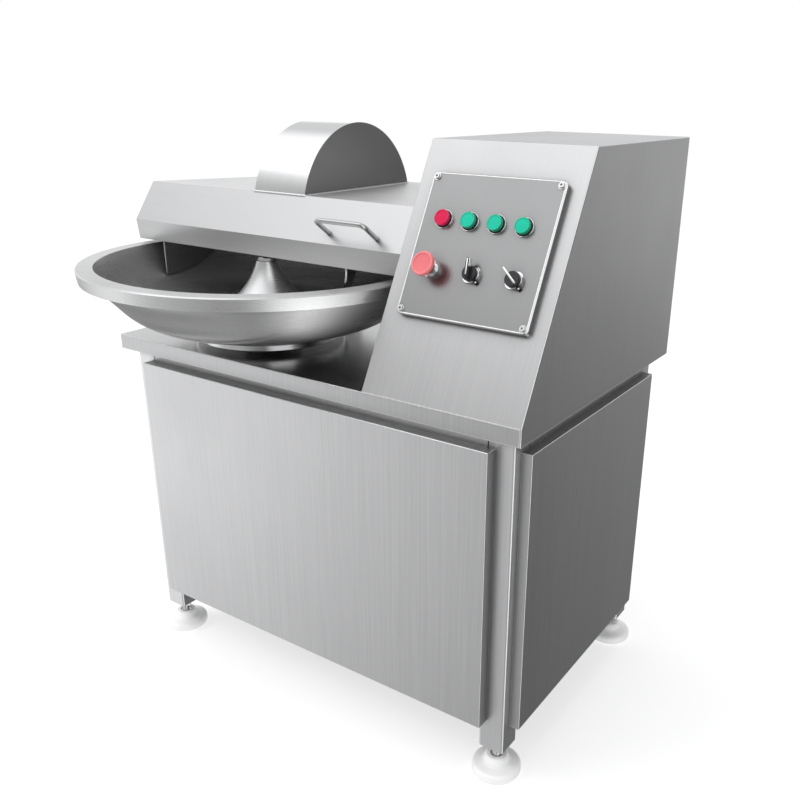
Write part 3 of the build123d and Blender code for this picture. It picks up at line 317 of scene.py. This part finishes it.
def streaks_by_face(n, tc, front, side):
    """Streaks across one axis on faces that look forward or up, and across another on faces that look sideways."""
    sep = n.node("ShaderNodeSeparateXYZ")
    n.link(tc.outputs["Normal"], sep.inputs[0])
    sideways = n.span(n.math("ABSOLUTE", sep.outputs[0]), 0.68, 0.74)
    got = []
    for u, v in zip(streaks(n, tc, front), streaks(n, tc, side)):
        m = n.node("ShaderNodeMix", data_type="FLOAT")
        n.link(sideways, m.inputs[0])
        n.link(u, m.inputs[2])
        n.link(v, m.inputs[3])
        got.append(m.outputs[0])
    return got


def fold_mask(n, tc, extra=()):
    """1 where a fold turns between the flat faces, 0 on the flats, whose directions are the axes and extra."""
    normal = tc.outputs["Normal"]
    sep = n.node("ShaderNodeSeparateXYZ")
    n.link(normal, sep.inputs[0])
    best = n.math("MAXIMUM", n.math("MAXIMUM", n.math("ABSOLUTE", sep.outputs[0]), n.math("ABSOLUTE", sep.outputs[1])), n.math("ABSOLUTE", sep.outputs[2]))
    for v in extra:
        best = n.math("MAXIMUM", best, n.vmath("DOT_PRODUCT", normal, v, out=1))
    return n.span(best, 0.80, 0.94, 1.0, 0.0, smooth=True)


def brushed(name, tone=0.62, rough=0.34, front="x", side="y", contrast=1.0, edge=0.0028, smudge=1.0, level_shade_and_gloss=None, flats=(), painted_side_shade=None, joint=(0.03, 0.75), edge_wear_and_highlight=0.8, painted_fold_line=0.95):
    """Brushed stainless sheet. The level-face pair is (tone, roughness) for level faces: the tone is painted light that
    makes the tops lighter or darker than the rest, the roughness is their own polish.
    """
    m, n, b, tc = material(name)
    a, mid, broad = streaks_by_face(n, tc, front, side)
    cloud = n.noise(tc.outputs["Object"], scale=3.2, detail=4, rough=0.55)
    lines = n.math("ADD", n.math("MULTIPLY", a, 0.55), n.math("ADD", n.math("MULTIPLY", mid, 0.33), n.math("MULTIPLY", broad, 0.12)))
    k = 0.055 * contrast
    col = n.ramp(lines, [(0.30, grey(tone * (1 - 2.2 * k))), (0.5, (tone, tone, tone * 1.003)), (0.70, grey(min(1, tone * (1 + 2.0 * k))))])
    dirt = n.span(cloud, 0.35, 0.75, 0.0, 0.06 * smudge)
    col = n.mix(dirt, col, (tone * 0.72, tone * 0.72, tone * 0.73, 1))
    # painted highlight: rounded edges and folds are drawn as pale lines (dark lines on the lid), in a part-diffuse grey
    edge_highlight = n.math("MAXIMUM", edge_mask(n, edge), fold_mask(n, tc, flats))
    # painted shade: faces looking along x, the side returns, take a darker tone
    if painted_side_shade:
        sep = n.node("ShaderNodeSeparateXYZ")
        n.link(tc.outputs["Normal"], sep.inputs[0])
        flank = n.span(n.math("ABSOLUTE", sep.outputs[0]), 0.93, 0.99)
        col = n.mix(flank, col, n.ramp(lines, [(0.30, grey(painted_side_shade * 0.9)), (0.70, grey(painted_side_shade * 1.08))]))
    # painted shade: joints, gaps and the undersides of overhangs are darkened towards near-black grey
    col = n.mix(n.math("MULTIPLY", painted_shade_mask(n, joint[0]), joint[1]), col, grey(0.055))
    edge_highlight = n.math("MULTIPLY", edge_highlight, edge_wear_and_highlight)
    col = n.mix(edge_highlight, col, grey(painted_fold_line))
    r = n.span(lines, 0.3, 0.7, rough * 0.82, rough * 1.2)
    r = n.math("ADD", r, n.span(cloud, 0.3, 0.75, -0.02, 0.05 * smudge))
    # painted light: level faces take their own tone, painting the tops lighter or darker, and their own roughness
    if level_shade_and_gloss:
        sep = n.node("ShaderNodeSeparateXYZ")
        n.link(tc.outputs["Normal"], sep.inputs[0])
        level = n.span(sep.outputs[2], 0.85, 0.95)
        level_shade_col = n.ramp(cloud, [(0.3, grey(level_shade_and_gloss[0] * 0.9)), (0.7, grey(level_shade_and_gloss[0] * 1.06))])
        col = n.mix(level, col, level_shade_col)
        r = n.node("ShaderNodeMix", data_type="FLOAT")
        n.link(level, r.inputs[0])
        n.link(n.math("ADD", n.span(lines, 0.3, 0.7, rough * 0.82, rough * 1.2), 0.0), r.inputs[2])
        n.link(n.math("ADD", n.span(lines, 0.3, 0.7, level_shade_and_gloss[1] * 0.85, level_shade_and_gloss[1] * 1.2), n.span(cloud, 0.4, 0.8, -0.01, 0.06)), r.inputs[3])
        r = r.outputs[0]
    n.link(col, b.inputs["Base Color"])
    # the painted edge lines turn part diffuse, so the lamps light them into highlights
    n.link(n.span(edge_highlight, 0.0, 1.0, 1.0, 0.35), b.inputs["Metallic"])
    r = n.math("SUBTRACT", r, n.math("MULTIPLY", edge_highlight, rough * 0.35))
    n.link(r, b.inputs["Roughness"])
    n.link(n.bump(lines, 0.22 * contrast, 0.00006), b.inputs["Normal"])
    return m


def polished(name, tone=0.72, rough=0.13, axis=None, ring=0.0, centre=(0, 0, 0), spread=1.0, metal=1.0, end_face_shade=None, turned=0.0, joint=None, marks=620, cut=0.12):
    """Polished stainless. Turned marks run round the axis when one is given."""
    m, n, b, tc = material(name)
    obj = tc.outputs["Object"]
    if axis is not None:
        off = n.vmath("SUBTRACT", obj, centre)
        along = n.vmath("DOT_PRODUCT", off, axis, out=1)
        radial = n.vmath("LENGTH", n.vmath("CROSS_PRODUCT", off, axis), out=1)
        join = n.node("ShaderNodeCombineXYZ")
        n.link(n.math("MULTIPLY", radial, marks), join.inputs[0])
        n.link(n.math("MULTIPLY", along, marks), join.inputs[1])
        lines = n.noise(join.outputs[0], scale=1.0, detail=3, rough=0.6)
    else:
        lines = n.noise(n.stretch(obj, (300, 300, 20)), detail=3, rough=0.6)
    cloud = n.noise(obj, scale=9, detail=4, rough=0.55)
    col = n.ramp(lines, [(0.25, grey(tone * 0.95)), (0.75, grey(min(1, tone * 1.03)))])
    col = n.mix(n.span(cloud, 0.4, 0.8, 0.0, 0.12), col, (tone * 0.8, tone * 0.8, tone * 0.8, 1))
    # painted shade: faces looking along the axis, the arch's end faces, take a darker tone and their own roughness
    if end_face_shade:
        facing = n.math("ABSOLUTE", n.vmath("DOT_PRODUCT", tc.outputs["Normal"], axis, out=1))
        col = n.mix(n.span(facing, 0.90, 0.97), col, grey(end_face_shade))
    # painted shade: joints, gaps and hollows under overhangs are darkened towards near-black grey
    if joint:
        col = n.mix(n.math("MULTIPLY", painted_shade_mask(n, joint[0]), joint[1]), col, grey(0.05))
    n.link(col, b.inputs["Base Color"])
    b.inputs["Metallic"].default_value = metal
    if turned:
        b.inputs["Anisotropic"].default_value = turned
        n.link(n.node("ShaderNodeTangent", direction_type="RADIAL", axis="Z").outputs[0], b.inputs["Tangent"])
    r = n.math("ADD", n.span(lines, 0.25, 0.75, rough * 0.85, rough * 1.25), n.span(cloud, 0.35, 0.75, -0.015, 0.05 * spread))
    if end_face_shade:
        m2 = n.node("ShaderNodeMix", data_type="FLOAT")
        n.link(n.span(facing, 0.90, 0.97), m2.inputs[0])
        n.link(r, m2.inputs[2])
        n.link(n.span(cloud, 0.3, 0.75, 0.36, 0.44), m2.inputs[3])
        r = m2.outputs[0]
    n.link(r, b.inputs["Roughness"])
    n.link(n.bump(lines, cut + ring, 0.00004), b.inputs["Normal"])
    return m


def dielectric(name, colour, rough=0.4, bump=0.15, scale=900, var=0.08, sss=0.0, coat=0.0, edge=0.0006, edge_wear_and_highlight=None, spec=0.5):
    """Moulded or painted surface: fine texture, soft variation and paler worn edges."""
    m, n, b, tc = material(name)
    obj = tc.outputs["Object"]
    fine = n.noise(obj, scale=scale, detail=2, rough=0.6)
    cloud = n.noise(obj, scale=38, detail=4, rough=0.55)
    dark = tuple(c * (1 - var) for c in colour)
    pale = tuple(min(1, c * (1 + var)) for c in colour)
    col = n.ramp(cloud, [(0.3, dark), (0.7, pale)])
    e = edge_mask(n, edge)
    edge_wear_and_highlight = edge_wear_and_highlight or tuple(min(1, c * 1.25 + 0.03) for c in colour)
    col = n.mix(n.math("MULTIPLY", e, 0.55), col, (*edge_wear_and_highlight, 1))
    n.link(col, b.inputs["Base Color"])
    r = n.math("ADD", n.span(fine, 0.3, 0.7, rough * 0.88, rough * 1.14), n.span(cloud, 0.3, 0.7, -0.03, 0.03))
    n.link(r, b.inputs["Roughness"])
    b.inputs["Specular IOR Level"].default_value = spec
    if coat:
        b.inputs["Coat Weight"].default_value = coat
        b.inputs["Coat Roughness"].default_value = 0.12
    if sss:
        b.inputs["Subsurface Weight"].default_value = sss
        b.inputs["Subsurface Radius"].default_value = (0.006, 0.004, 0.003)
        b.inputs["Subsurface Scale"].default_value = 1.0
    n.link(n.bump(fine, bump, 0.00005), b.inputs["Normal"])
    return m


BOWL_C = Vector((-0.1687, -0.0531, 0))
KNIFE_Y, KNIFE_Z = 0.120, 0.895
S_Y, S_Z = 0.46471, 0.88546  # up-slope direction of the control face is (0, S_Y, S_Z)
SLOPE_O = Vector((0, -0.223, 0.692))
SLOPE_U = Vector((0, S_Y, S_Z))
SLOPE_N = Vector((0, -S_Z, S_Y))


def on_slope(x, s, h=0.0):
    return SLOPE_O + Vector((x, 0, 0)) + SLOPE_U * s + SLOPE_N * h


steel = brushed("steel_brushed_upright", 0.66, 0.33)
steel_front = brushed("steel_brushed_front", 0.71, 0.33, painted_side_shade=0.44)
steel_head = brushed("steel_brushed_head", 0.62, 0.34, contrast=0.75, flats=(SLOPE_N,))
steel_top = brushed("steel_brushed_deck", 0.60, 0.33, level_shade_and_gloss=(0.62, 0.22))
steel_lid = brushed("steel_brushed_lid", 0.61, 0.38, front="z", contrast=0.45, edge_wear_and_highlight=0.8, painted_fold_line=0.30, level_shade_and_gloss=(0.88, 0.46), flats=(Vector((0, -0.806, 0.592)), Vector((-0.924, 0.383, 0))))
steel_frame = brushed("steel_brushed_tube", 0.86, 0.36, edge=0.0014, edge_wear_and_highlight=0.5, joint=(0.016, 0.9))
plate_satin = brushed("steel_satin_plate", 0.355, 0.30, contrast=0.35, flats=(SLOPE_N, SLOPE_U, -SLOPE_U))
arch_steel = polished("steel_arch", 0.86, 0.09, axis=(1, 0, 0), centre=(0, 0.1455, 0.9346), end_face_shade=0.33, joint=(0.09, 0.55))
bowl_steel = polished("steel_bowl", 0.68, 0.27, metal=0.88, axis=(0, 0, 1), centre=tuple(BOWL_C), turned=0.7, joint=(0.14, 0.6), marks=1500, cut=0.03)
drive_steel = polished("steel_turned_upright", 0.66, 0.16, axis=(0, 0, 1), centre=tuple(BOWL_C))
shaft_steel = polished("steel_turned_shaft", 0.60, 0.22, axis=(1, 0, 0), centre=(0, KNIFE_Y, KNIFE_Z), joint=(0.25, 0.85))
blade_steel = polished("steel_blade", 0.74, 0.15)
bolt_steel = polished("steel_bright_fastener", 0.68, 0.2)
rod_steel = polished("steel_rod", 0.60, 0.16, joint=(0.012, 0.7))
bezel_steel = polished("steel_bezel", 0.88, 0.15)
cast = dielectric("cast_iron", (0.10, 0.105, 0.11), rough=0.62, bump=0.6, scale=420, var=0.18, edge_wear_and_highlight=(0.3, 0.3, 0.31))
motor_paint = dielectric("motor_enamel", (0.055, 0.13, 0.24), rough=0.38, bump=0.3, scale=500, var=0.12, coat=0.2)
box_paint = dielectric("box_enamel", (0.55, 0.56, 0.55), rough=0.42, bump=0.35, scale=700, var=0.05)
nylon = dielectric("white_nylon", (0.96, 0.96, 0.95), rough=0.40, bump=0.1, scale=600, var=0.02, sss=0.1, edge_wear_and_highlight=(1.0, 1.0, 0.99))
rubber = dielectric("black_rubber", (0.022, 0.022, 0.023), rough=0.62, bump=0.4, scale=900, var=0.2)
black_plastic = dielectric("black_plastic", (0.016, 0.016, 0.018), rough=0.34, bump=0.25, scale=1400, var=0.2, edge_wear_and_highlight=(0.07, 0.07, 0.075))
red_plastic = dielectric("red_plastic", (0.60, 0.0, 0.06), rough=0.3, bump=0.1, scale=1600, var=0.05, coat=0.0, spec=0.25)
green_plastic = dielectric("green_plastic", (0.0, 0.47, 0.31), rough=0.3, bump=0.1, scale=1600, var=0.05, coat=0.0, spec=0.25)
salmon = dielectric("salmon_plastic", (0.70, 0.14, 0.155), rough=0.38, bump=0.1, scale=1500, var=0.04, coat=0.2)

BY_NODE = {
    "frame_posts": steel_frame, "frame_rails": steel_frame, "worktop": steel_top, "front_panel": steel_front,
    "right_panel": steel, "left_panel": steel, "rear_panel": steel, "bottom_tray": steel, "foot_pads": nylon,
    "foot_studs": bolt_steel, "foot_nuts": bolt_steel, "head_housing": steel_head, "head_rear_cover": steel,
    "control_plate": plate_satin, "control_plate_screws": bolt_steel, "button_bezels": bezel_steel,
    "button_bodies": black_plastic, "estop_collar": bezel_steel, "selector_bezels": bezel_steel,
    "contact_blocks": black_plastic, "bowl_bearing_housing": cast, "shaft_bearings": bolt_steel, "shaft_seal": rubber,
    "shaft_housing": shaft_steel, "housing_bolts": bolt_steel, "bearing_pedestal": cast, "main_motor": motor_paint,
    "drive_mounts": box_paint, "drive_belts": rubber, "bowl_gearmotor": motor_paint, "electrical_box": box_paint,
    "cable_gland": black_plastic, "hinge_brackets": steel_frame, "hinge_pins": bolt_steel, "bowl": bowl_steel,
    "bowl_drive_plate": drive_steel, "bowl_spindle": drive_steel, "hub_cap": bowl_steel, "bowl_pulley": cast,
    "knife_shaft": shaft_steel, "knife_blades": blade_steel, "knife_spacers": shaft_steel, "knife_nut": shaft_steel,
    "knife_pulley": cast, "motor_rotor": bolt_steel, "motor_pulley": cast, "gearmotor_output": cast,
    "lid_shell": steel_lid, "knife_arch": arch_steel, "lid_handle": rod_steel, "lid_baffle": steel_lid,
    "hinge_leaves": steel_frame, "red_button": red_plastic, "green_button_left": green_plastic,
    "green_button_middle": green_plastic, "green_button_right": green_plastic, "estop_stem": rod_steel,
    "estop_mushroom": salmon, "selector_left": black_plastic, "selector_right": black_plastic,
}
for name, node in NODES.items():
    node.data.materials.clear()
    node.data.materials.append(BY_NODE[name])

# --------------------------------------------------------------- mesh helpers
SLOPE_M = Matrix.Translation(SLOPE_O) @ Matrix(((1, 0, 0, 0), (0, S_Y, -S_Z, 0), (0, S_Z, S_Y, 0), (0, 0, 0, 1)))


def finish_mesh(name, bm, place, mats, body, sharp=35.0, replaces=()):
    """Turns a bmesh in millimetres, in a local frame, into a piece on a CAD body."""
    bmesh.ops.remove_doubles(bm, verts=bm.verts, dist=1e-4)
    bmesh.ops.recalc_face_normals(bm, faces=bm.faces)
    bmesh.ops.transform(bm, matrix=place @ Matrix.Scale(MM, 4), verts=bm.verts)
    for face in bm.faces:
        face.smooth = True
    for e in bm.edges:
        if len(e.link_faces) == 2 and e.calc_face_angle(0) > math.radians(sharp):
            e.smooth = False
    mesh = bpy.data.meshes.new(name)
    bm.to_mesh(mesh)
    bm.free()
    for m in mats:
        mesh.materials.append(m)
    o = bpy.data.objects.new(name, mesh)
    scene.collection.objects.link(o)
    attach(o, body)
    if replaces:
        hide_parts(*replaces)
    return o


def rounded(points, steps=5):
    """(r, h, radius, material) corners to a polyline whose corners are arcs of that radius."""
    out = []
    for i, (r, h, rad, mat) in enumerate(points):
        if rad <= 0 or i in (0, len(points) - 1):
            out.append((r, h, mat))
            continue
        p = Vector((r, h))
        a = (Vector(points[i - 1][:2]) - p)
        c = (Vector(points[i + 1][:2]) - p)
        half = a.angle(c) / 2 if a.length > 1e-6 and c.length > 1e-6 else 2.0
        if half > 1.5:  # a straight run has no corner to round
            out.append((r, h, mat))
            continue
        d = min(rad / math.tan(half), a.length * 0.49, c.length * 0.49)
        rr = d * math.tan(half)
        a.normalize()
        c.normalize()
        mid = p + (a + c).normalized() * (rr / math.sin(half))
        s0, s1 = p + a * d - mid, p + c * d - mid
        sweep = s0.angle_signed(s1)
        for k in range(steps + 1):
            v = s0.copy()
            v.rotate(Matrix.Rotation(-sweep * k / steps, 2))
            q = mid + v
            out.append((q.x, q.y, mat))
    return out


def lathe(bm, points, centre=(0, 0, 0), segs=72, wobble=None):
    """Revolves (r, h, material) points about local z at centre. The first and last lie on the axis or close a ring."""
    cx, cy, cz = centre
    rings = []
    for r, h, _ in points:
        if r < 1e-6:
            rings.append([bm.verts.new((cx, cy, cz + h))])
            continue
        ring = []
        for k in range(segs):
            t = 2 * math.pi * k / segs
            rr = r + (wobble(t, r, h) if wobble else 0)
            ring.append(bm.verts.new((cx + rr * math.cos(t), cy + rr * math.sin(t), cz + h)))
        rings.append(ring)
    for i in range(len(rings) - 1):
        a, b, mat = rings[i], rings[i + 1], points[i + 1][2]
        for k in range(segs):
            k2 = (k + 1) % segs
            if len(a) == 1 and len(b) == 1:
                continue
            if len(a) == 1:
                f = bm.faces.new((a[0], b[k], b[k2]))
            elif len(b) == 1:
                f = bm.faces.new((a[k], a[k2], b[0]))
            else:
                f = bm.faces.new((a[k], a[k2], b[k2], b[k]))
            f.material_index = mat
    return rings


def bar(bm, cx, cy, z0, z1, w, l, angle, round_r, bevel=0.6, mat=0, top_mat=None, shift=0.0, taper=0.0):
    """A bar with rounded ends, standing on local z: w wide, l long, turned by angle from local y, its middle moved along it."""
    n = 7
    outline = []
    for sx, sy, t0 in ((1, 1, 0), (-1, 1, 90), (-1, -1, 180), (1, -1, 270)):
        for k in range(n + 1):
            t = math.radians(t0 + 90 * k / n)
            outline.append((sx * (w / 2 - round_r) + round_r * math.cos(t), sy * (l / 2 - round_r) + round_r * math.sin(t)))
    ca, sa = math.cos(math.radians(angle)), math.sin(math.radians(angle))

    def ring(inset, z):
        out = []
        for x, y in outline:
            fx, fy = (w / 2 - inset) / (w / 2), (l / 2 - inset) / (l / 2)
            x2, y2 = x * fx, y * fy + shift
            out.append(bm.verts.new((cx + x2 * ca - y2 * sa, cy + x2 * sa + y2 * ca, z)))
        return out

    rings = [ring(0, z0), ring(taper, z1 - bevel), ring(taper + bevel * 0.3, z1 - bevel * 0.3), ring(taper + bevel, z1)]
    m = len(outline)
    for a, b in zip(rings, rings[1:]):
        for k in range(m):
            f = bm.faces.new((a[k], a[(k + 1) % m], b[(k + 1) % m], b[k]))
            f.material_index = mat
    f = bm.faces.new(list(reversed(rings[0])))
    f.material_index = mat
    f = bm.faces.new(rings[-1])
    f.material_index = mat if top_mat is None else top_mat


# ------------------------------------------------------- push-buttons, E-stop
H = 12.0  # front of the control plate above the sloped face
# painted light: each cap's side and rim use a darker shaded copy of its plastic, and the E-stop head has a lighter lit
# rim and a darker shaded side
green_shaded_copy = dielectric("green_plastic_shaded", (0.004, 0.30, 0.16), rough=0.26, bump=0.1, scale=1600, var=0.05, coat=0.4)
red_shaded_copy = dielectric("red_plastic_shaded", (0.62, 0.006, 0.07), rough=0.26, bump=0.1, scale=1600, var=0.05, coat=0.4)
salmon_lit_copy = dielectric("salmon_plastic_lit", (0.76, 0.19, 0.205), rough=0.28, bump=0.1, scale=1500, var=0.04, coat=0.3)
salmon_shaded_copy = dielectric("salmon_plastic_shaded", (0.78, 0.06, 0.08), rough=0.3, bump=0.1, scale=1500, var=0.04, coat=0.3)
for bname, bx, face, side, slot in (
    ("red_button", 282.0, red_plastic, red_shaded_copy, "red_plastic"),
    ("green_button_left", 332.5, green_plastic, green_shaded_copy, "green_plastic"),
    ("green_button_middle", 383.0, green_plastic, green_shaded_copy, "green_plastic"),
    ("green_button_right", 433.5, green_plastic, green_shaded_copy, "green_plastic"),
):
    bm = bmesh.new()
    lathe(bm, rounded([
        (0, -18, 0, 1), (9, -18, 0.4, 1), (9, H + 3.6, 0, 1), (13.2, H + 3.6, 0.5, 1), (13.5, H + 6.6, 0.2, 1), (13.1, H + 6.9, 0.1, 1),
        (13.1, H + 7.5, 0.1, 1), (13.5, H + 7.8, 0.2, 1), (13.5, H + 11.2, 1.5, 1), (11.3, H + 11.2, 0.4, 0), (10.7, H + 10.5, 0.4, 0),
        (6, H + 10.75, 0, 0), (0, H + 10.85, 0, 0)]), (bx, 310.5, 0), 72)
    finish_mesh(bname + "_cap", bm, SLOPE_M, (face, side), bname, replaces=(bname,))

bm = bmesh.new()
lathe(bm, rounded([
    (0, H + 27.3, 0, 1), (5.05, H + 27.3, 0.2, 1), (5.05, H + 20.4, 0.2, 1), (11.6, H + 20.4, 0.8, 1), (13.5, H + 22.0, 1.0, 1), (17.0, H + 24.2, 1.0, 1),
    (20.1, H + 25.2, 1.0, 1), (20.5, H + 27.2, 0.6, 1), (20.5, H + 31.2, 2.0, 2), (19.0, H + 33.2, 1.2, 2), (16.6, H + 33.0, 0.8, 2), (15.6, H + 32.1, 0.8, 0),
    (9, H + 31.8, 0, 0), (0, H + 31.7, 0, 0)]), (284.5, 224, 0), 96)
finish_mesh("estop_head", bm, SLOPE_M, (salmon, salmon_shaded_copy, salmon_lit_copy), "estop_mushroom", replaces=("estop_mushroom",))

# ------------------------------------------------------------------ selectors
pointer_steel = polished("steel_pointer", 0.85, 0.16)
for sname, sx, ang, lw, ll, lh in (("selector_left", 363.0, 8.0, 7.5, 33.0, 9.0), ("selector_right", 441.5, 50.0, 4.2, 36.0, 3.6)):
    def flutes(t, r, h):
        return -0.35 * (0.5 + 0.5 * math.cos(24 * t)) if 12.4 < r < 13.2 and H + 6.2 < h < H + 12.0 else 0.0
    bm = bmesh.new()
    lathe(bm, rounded([
        (0, -16, 0, 0), (8, -16, 0.4, 0), (8, H + 5.4, 0, 0), (12.6, H + 5.4, 0.5, 0), (13.0, H + 6.4, 0.3, 0), (13.0, H + 11.6, 1.2, 0), (11.9, H + 13.0, 0.6, 0),
        (11.0, H + 13.0, 0.3, 0), (0, H + 13.0, 0, 0)]), (sx, 224, 0), 144, wobble=flutes)
    finish_mesh(sname + "_knob", bm, SLOPE_M, (black_plastic,), sname, replaces=(sname,))
    bm = bmesh.new()
    if sname == "selector_left":
        bar(bm, sx, 224, H + 12.9, H + 13.0 + lh, lw, ll, ang, lw / 2 - 0.1, bevel=1.1, mat=0, shift=6.0, taper=0.35)
        bar(bm, sx, 224, H + 12.5 + lh, H + 13.3 + lh, 2.4, ll - 6.0, ang, 1.15, bevel=0.2, mat=1, shift=7.2)
        bar(bm, sx, 224, H + 13.4, H + 12.2 + lh, lw + 0.7, ll * 0.42, ang, 1.6, bevel=0.2, mat=1, shift=14.3)
    else:
        bar(bm, sx, 224, H + 12.9, H + 13.0 + lh, lw, ll, ang, lw / 2 - 0.1, bevel=0.8, mat=1, shift=6.0, taper=0.15)
        bar(bm, sx, 224, H + 12.95, H + 13.9, lw + 2.6, 21.0, ang, (lw + 2.6) / 2 - 0.1, bevel=0.4, mat=0, shift=-1.0)
    finish_mesh(sname + "_lever", bm, SLOPE_M, (black_plastic, pointer_steel), sname)
# the small locating tab on each selector's base
bm = bmesh.new()
for sx in (363.0, 441.5):
    bar(bm, sx + 11.2, 224 - 11.2, H + 2.9, H + 4.2, 6.5, 8.5, 45, 0.8, bevel=0.4, mat=0)
    bar(bm, sx + 11.9, 224 - 11.9, H + 4.1, H + 4.7, 3.0, 4.2, 45, 0.5, bevel=0.2, mat=1)
finish_mesh("selector_base_tabs", bm, SLOPE_M, (black_plastic, pointer_steel), "root")

# ------------------------------------------------------- studs and screws
POSTS = [(x, y) for x in (-363.0, 478.0) for y in (-192.0, 322.0)]


def thread(bm, cx, cy, z0, z1, r, depth, pitch, segs=40):
    """A threaded rod: rings whose radius follows the helix."""
    rows = int((z1 - z0) / pitch * 6) + 1
    rings = []
    for i in range(rows + 1):
        z = z0 + (z1 - z0) * i / rows
        ring = []
        for k in range(segs):
            t = 2 * math.pi * k / segs
            ph = (z / pitch - k / segs) % 1.0
            tooth = 1 - abs(2 * ph - 1)
            fade = min(1.0, (z - z0) / pitch, (z1 - z) / pitch)
            rr = r - depth * (1 - min(1, tooth * 1.25)) * max(0.0, fade) - 0.5 * (1 - max(0.0, fade))
            ring.append(bm.verts.new((cx + rr * math.cos(t), cy + rr * math.sin(t), z)))
        rings.append(ring)
    for a, b in zip(rings, rings[1:]):
        for k in range(segs):
            bm.faces.new((a[k], a[(k + 1) % segs], b[(k + 1) % segs], b[k]))
    bm.faces.new(list(reversed(rings[0])))
    bm.faces.new(rings[-1])


bm = bmesh.new()
for fx, fy in POSTS:
    lathe(bm, [(0, 26, 0), (11, 26, 0), (11, 34, 0), (0, 34, 0)], (fx, fy, 0), 40)
    thread(bm, fx, fy, 34.0, 112.0, 8.0, 0.95, 2.0)
finish_mesh("foot_stud_threads", bm, Matrix.Identity(4), (bolt_steel,), "root", sharp=60, replaces=("foot_studs",))

# the bright raised line round the control plate's face, in a pale part-diffuse finish: a painted highlight along the
# plate's edge
bm = bmesh.new()
px0, px1, ps0, ps1, rc = 239.6, 484.4, 144.6, 389.4, 7.0
path = []
for cx, cs, t0 in ((px1 - rc, ps1 - rc, 0), (px0 + rc, ps1 - rc, 90), (px0 + rc, ps0 + rc, 180), (px1 - rc, ps0 + rc, 270)):
    for k in range(9):
        t = math.radians(t0 + 90 * k / 8)
        path.append(Vector((cx + rc * math.cos(t), cs + rc * math.sin(t), H)))
rings = []
for i, q in enumerate(path):
    t = (path[(i + 1) % len(path)] - path[i - 1]).normalized()
    side_v = Vector((t.y, -t.x, 0))
    rings.append([bm.verts.new(q + side_v * 1.15 * math.cos(2 * math.pi * k / 10) + Vector((0, 0, 0.85 * math.sin(2 * math.pi * k / 10)))) for k in range(10)])
for i in range(len(rings)):
    ra, rb = rings[i], rings[(i + 1) % len(rings)]
    for k in range(10):
        bm.faces.new((ra[k], ra[(k + 1) % 10], rb[(k + 1) % 10], rb[k]))
plate_line_highlight = polished("steel_plate_line_highlight", 0.93, 0.30, metal=0.45)
finish_mesh("plate_raised_line", bm, SLOPE_M, (plate_line_highlight,), "root", sharp=80)

# domed socket screws that hold the rear and left panels
def socket_screw(bm, centre, axis, r=5.2, h=2.4):
    """A round-headed screw with a hexagon socket, its head standing on a face at centre."""
    m = Matrix.Translation(centre) @ Vector(axis).to_track_quat("Z", "Y").to_matrix().to_4x4()
    part = bmesh.new()
    lathe(part, rounded([(0, -0.3, 0, 0), (r, -0.3, 0, 0), (r, h * 0.45, 0.5, 0), (r * 0.62, h, 0.8, 0), (r * 0.45, h, 0.1, 0)]), (0, 0, 0), 36)
    ring = [v for v in part.verts if abs(v.co.z - h) < 1e-4 and abs(math.hypot(v.co.x, v.co.y) - r * 0.45) < 1e-4]
    ring.sort(key=lambda v: math.atan2(v.co.y, v.co.x))
    low = []
    for v in ring:
        t = math.atan2(v.co.y, v.co.x)
        k = r * 0.40 * math.cos(math.pi / 6) / math.cos((t % (math.pi / 3)) - math.pi / 6)
        low.append((part.verts.new((k * math.cos(t), k * math.sin(t), h - 0.15)), part.verts.new((k * math.cos(t), k * math.sin(t), h - 1.7))))
    c = part.verts.new((0, 0, h - 1.9))
    for i in range(len(ring)):
        j = (i + 1) % len(ring)
        part.faces.new((ring[i], ring[j], low[j][0], low[i][0]))
        part.faces.new((low[i][0], low[j][0], low[j][1], low[i][1]))
        part.faces.new((low[i][1], low[j][1], c))
    bmesh.ops.transform(part, matrix=m, verts=part.verts)
    shift = {}
    for v in part.verts:
        shift[v] = bm.verts.new(v.co)
    for f in part.faces:
        bm.faces.new([shift[v] for v in f.verts])
    part.free()


bm = bmesh.new()
for sx in (-326.0, 57.5, 441.0):
    for sz in (132.0, 646.0):
        socket_screw(bm, (sx, 347.0, sz), (0, 1, 0))
for sy in (-154.0, 65.0, 284.0):
    for sz in (132.0, 646.0):
        socket_screw(bm, (-388.0, sy, sz), (-1, 0, 0))
finish_mesh("panel_screws", bm, Matrix.Identity(4), (bolt_steel,), "root")

# the bead where the arched cover is welded to the lid's top
bm = bmesh.new()
wx0, wx1, wy0, wy1, wz = -219.4, -86.4, -23.4, 314.6, 978.6
loop = []
for (ax, ay), (cx, cy) in (((wx0, wy0), (wx1, wy0)), ((wx1, wy0), (wx1, wy1)), ((wx1, wy1), (wx0, wy1)), ((wx0, wy1), (wx0, wy0))):
    steps = int(math.hypot(cx - ax, cy - ay) / 1.6)
    loop += [(ax + (cx - ax) * i / steps, ay + (cy - ay) * i / steps, i / steps) for i in range(steps)]
rings = []
count = len(loop)
for i, (x, y, _) in enumerate(loop):
    x2, y2, _ = loop[(i + 1) % count]
    x1, y1, _ = loop[i - 1]
    t = Vector((x2 - x1, y2 - y1, 0)).normalized()
    out_n = Vector((t.y, -t.x, 0))
    swell = 1 + 0.10 * math.sin(i * 2.1) + 0.05 * math.sin(i * 0.7)
    ring = []
    for k in range(10):
        a = 2 * math.pi * k / 10
        q = Vector((x, y, wz)) + out_n * (0.4 + 3.0 * swell * math.cos(a)) + Vector((0, 0, 2.3 * swell * math.sin(a)))
        ring.append(bm.verts.new(q))
    rings.append(ring)
for i in range(count):
    ra, rb = rings[i], rings[(i + 1) % count]
    for k in range(10):
        bm.faces.new((ra[k], ra[(k + 1) % 10], rb[(k + 1) % 10], rb[k]))
weld_steel = polished("steel_weld", 0.90, 0.34)
finish_mesh("arch_weld", bm, Matrix.Identity(4), (weld_steel,), "lid", sharp=80)
